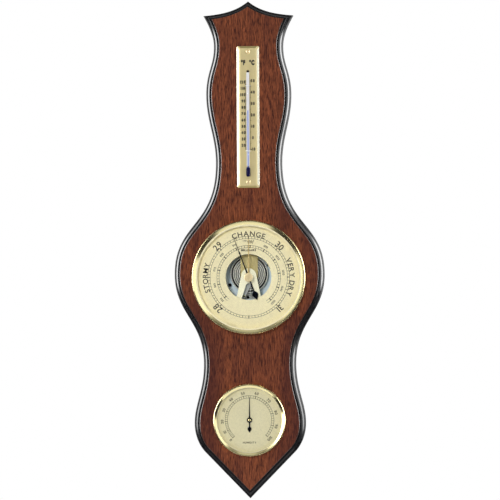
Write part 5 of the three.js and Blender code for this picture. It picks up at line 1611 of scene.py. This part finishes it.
class BAROMETER_OT_stage(bpy.types.Operator):
    """Set the pale floor, the soft light and the camera"""

    bl_idname = "barometer.stage"
    bl_label = "Stage"

    def execute(self, context):
        self.floor()
        self.light(context)
        self.window_light(context)
        self.camera(context)
        context.scene.view_settings.view_transform = "Standard"
        return {"FINISHED"}

    def floor(self):
        """A pale floor a little below the board."""
        reach, level = 450, -600
        corners = [(-reach, -reach), (reach, -reach), (reach, reach), (-reach, reach)]
        points = [(x, y, level) for x, y in corners]
        floor = mesh_piece("floor", points, [[0, 1, 2, 3]], turn_out=False)
        tints = ((0.86, 0.86, 0.86), (0.90, 0.90, 0.90))
        paper = speckled("floor_paper", 0.9, 30, tints, detail=2.0)
        floor.data.materials.append(paper.material)
        floor.visible_glossy = False

    def camera(self, context):
        """A long lens, three degrees to the right of the board's axis."""
        yaw, roll, distance, field = math.radians(3), math.radians(-0.28), 3.0, 0.5625
        target, sensor = np.array([0.00096, -0.010, -0.2501]), 36
        lens = bpy.data.cameras.new("camera")
        lens.sensor_width = sensor
        lens.lens = sensor * distance / field
        camera = bpy.data.objects.new("camera", lens)
        context.scene.collection.objects.link(camera)
        place = target + distance * np.array([math.sin(yaw), -math.cos(yaw), 0])
        turn = Matrix.Rotation(yaw, 4, "Z") @ Matrix.Rotation(math.pi / 2, 4, "X")
        camera.matrix_world = Matrix.Translation(place) @ turn @ Matrix.Rotation(roll, 4, "Z")
        context.scene.camera = camera

    def window_light(self, context):
        """A large soft light from the upper left in front, for the matt surfaces alone: it
        reaches into the dial's opening and gives the tube and the spring their shadows."""
        lamp = bpy.data.lights.new("window", "SUN")
        aside, above, level = math.radians(-11), math.radians(12), 0.86
        lamp.angle = math.radians(13)
        lamp.energy = WINDOW_SHARE * level * math.pi / (math.cos(aside) * math.cos(above))
        window = bpy.data.objects.new("window", lamp)
        context.scene.collection.objects.link(window)
        window.rotation_euler = (math.pi / 2 - above, 0, aside)
        window.visible_glossy = False

    def light(self, context):
        """Even light for matt surfaces. Glossy ones see a studio by direction: dark in front and
        behind, pale panels all round with dark gaps towards the lower corners, and a narrow, very
        bright strip far out at each side."""
        world = bpy.data.worlds.new("studio")
        world.use_nodes = True
        world.node_tree.nodes.clear()
        add = partial(put, world.node_tree)

        def maths(operation, *values):
            """The result of an operation on one or two values."""
            return add("ShaderNodeMath", *values, operation=operation).outputs[0]

        def times(first, *others):
            """The product of all the values."""
            for value in others:
                first = maths("MULTIPLY", first, value)
            return first

        def plus(first, second):
            """The sum of two values."""
            return maths("ADD", first, second)

        def rest(value):
            """What is left of 1."""
            return maths("SUBTRACT", 1.0, value)

        def between(value, start, end, low=0.0, high=1.0):
            """A value mapped softly from one span to another and held within it."""
            values = (value, start, end, low, high)
            return add("ShaderNodeMapRange", *values, interpolation_type="SMOOTHSTEP").outputs[0]

        def blend(share, first, second):
            """Two values mixed."""
            return plus(times(rest(share), first), times(share, second))

        source = add("ShaderNodeTexCoord").outputs["Generated"]
        x, y, z = add("ShaderNodeSeparateXYZ", source).outputs
        degree = math.radians(1)
        off_axis = maths("ARCCOSINE", times(y, -1.0))
        reach = plus(maths("SQRT", plus(times(x, x), times(z, z))), 0.0001)
        level = maths("DIVIDE", maths("ABSOLUTE", x), reach)
        rise = maths("DIVIDE", z, reach)
        right = between(x, -0.05, 0.05)
        to_sides = between(level, 0.5, 0.75)

        def over(start, end, low, high):
            """Goes from one level to another over a span of angles from the viewer's axis."""
            return between(off_axis, start * degree, end * degree, low, high)

        def spread(start, end):
            """Rises to 1 over a span of angles from the viewer's axis."""
            return over(start, end, 0.0, 1.0)

        def fade(start, end, low=0.0):
            """Falls from 1 over a span of angles from the viewer's axis."""
            return over(start, end, 1.0, low)

        opening = blend(to_sides, spread(20, 29), blend(right, spread(26, 34), spread(14, 22)))
        panel = blend(to_sides, between(rise, -0.3, 0.3, 0.98, 0.56), 1.28)
        upper = plus(times(level, 0.5), times(rise, 0.866))
        upper_gap = between(upper, 0.965, 0.992, 1.0, 0.5)
        large, small = 132 * degree, 117 * degree
        turn = blend(right, over(40, 44, large, small), over(32, 36, large, small))
        lower = plus(times(level, maths("SINE", turn)), times(rise, maths("COSINE", turn)))
        lower_gap = between(lower, 0.935, 0.965, 1.0, 0.03)
        gaps = times(upper_gap, lower_gap)
        near = times(times(panel, gaps), times(opening, fade(56, 72, 0.12)))
        top_end, low_end = between(rise, 0.40, 0.66, 1.0, 0.0), between(rise, -0.30, -0.12)
        rising = blend(right, spread(37, 47), spread(54, 66))
        falling = blend(right, fade(64, 86), fade(88, 108))
        strip = times(times(top_end, low_end, STRIP_LEVEL), times(rising, falling))
        around = times(top_end, between(rise, -0.5, -0.3))
        rim = times(around, spread(100, 125), fade(145, 178))
        glossy = plus(maths("MAXIMUM", near, 0.035), plus(strip, times(rim, RIM_LEVEL)))
        facing = between(y, -0.3, 0.3, 1.0 - WINDOW_SHARE)
        even = times(between(z, -1.0, 1.0, 0.90, 1.08), facing)
        path = add("ShaderNodeLightPath").outputs
        share = path["Is Glossy Ray"]
        lit = plus(times(glossy, share), times(even, rest(share)))
        seen = maths("MAXIMUM", path["Is Camera Ray"], path["Is Transmission Ray"])
        strength = plus(times(lit, rest(seen)), seen)
        background = add("ShaderNodeBackground", (1, 1, 1), strength).outputs[0]
        add("ShaderNodeOutputWorld", background)
        world.cycles.sampling_method = "NONE"
        context.scene.world = world


class BAROMETER_PT_panel(bpy.types.Panel):
    """The barometer's sizes, colours and steps in the sidebar."""

    bl_label = "Wall barometer"
    bl_idname = "BAROMETER_PT_panel"
    bl_space_type = "VIEW_3D"
    bl_region_type = "UI"
    bl_category = "Barometer"

    def draw(self, context):
        for group in (context.scene.barometer_sizes, context.scene.barometer_colours):
            box = self.layout.box()
            for name in group.__annotations__:
                box.prop(group, name)
        for step in STEPS:
            self.layout.operator(step.bl_idname)


STEPS = (
    BAROMETER_OT_board,
    BAROMETER_OT_hanger,
    BAROMETER_OT_scale_plate,
    BAROMETER_OT_thermometer,
    BAROMETER_OT_scale_print,
    BAROMETER_OT_bezels,
    BAROMETER_OT_glasses,
    BAROMETER_OT_pressure_dial,
    BAROMETER_OT_capsule,
    BAROMETER_OT_main_spring,
    BAROMETER_OT_bridge,
    BAROMETER_OT_movement,
    BAROMETER_OT_pressure_hand,
    BAROMETER_OT_set_hand,
    BAROMETER_OT_humidity_dial,
    BAROMETER_OT_humidity_hand,
    BAROMETER_OT_stage,
)
CLASSES = (BarometerSizes, BarometerColours, *STEPS, BAROMETER_PT_panel)


def register():
    """Adds the properties, the operators and the panel."""
    for cls in CLASSES:
        bpy.utils.register_class(cls)
    bpy.types.Scene.barometer_sizes = PointerProperty(type=BarometerSizes)
    bpy.types.Scene.barometer_colours = PointerProperty(type=BarometerColours)


def unregister():
    """Takes away what register added."""
    del bpy.types.Scene.barometer_colours
    del bpy.types.Scene.barometer_sizes
    for cls in reversed(CLASSES):
        bpy.utils.unregister_class(cls)


def main():
    register()
    for step in STEPS:
        group, name = step.bl_idname.split(".")
        getattr(getattr(bpy.ops, group), name)()


if __name__ == "__main__":
    main()
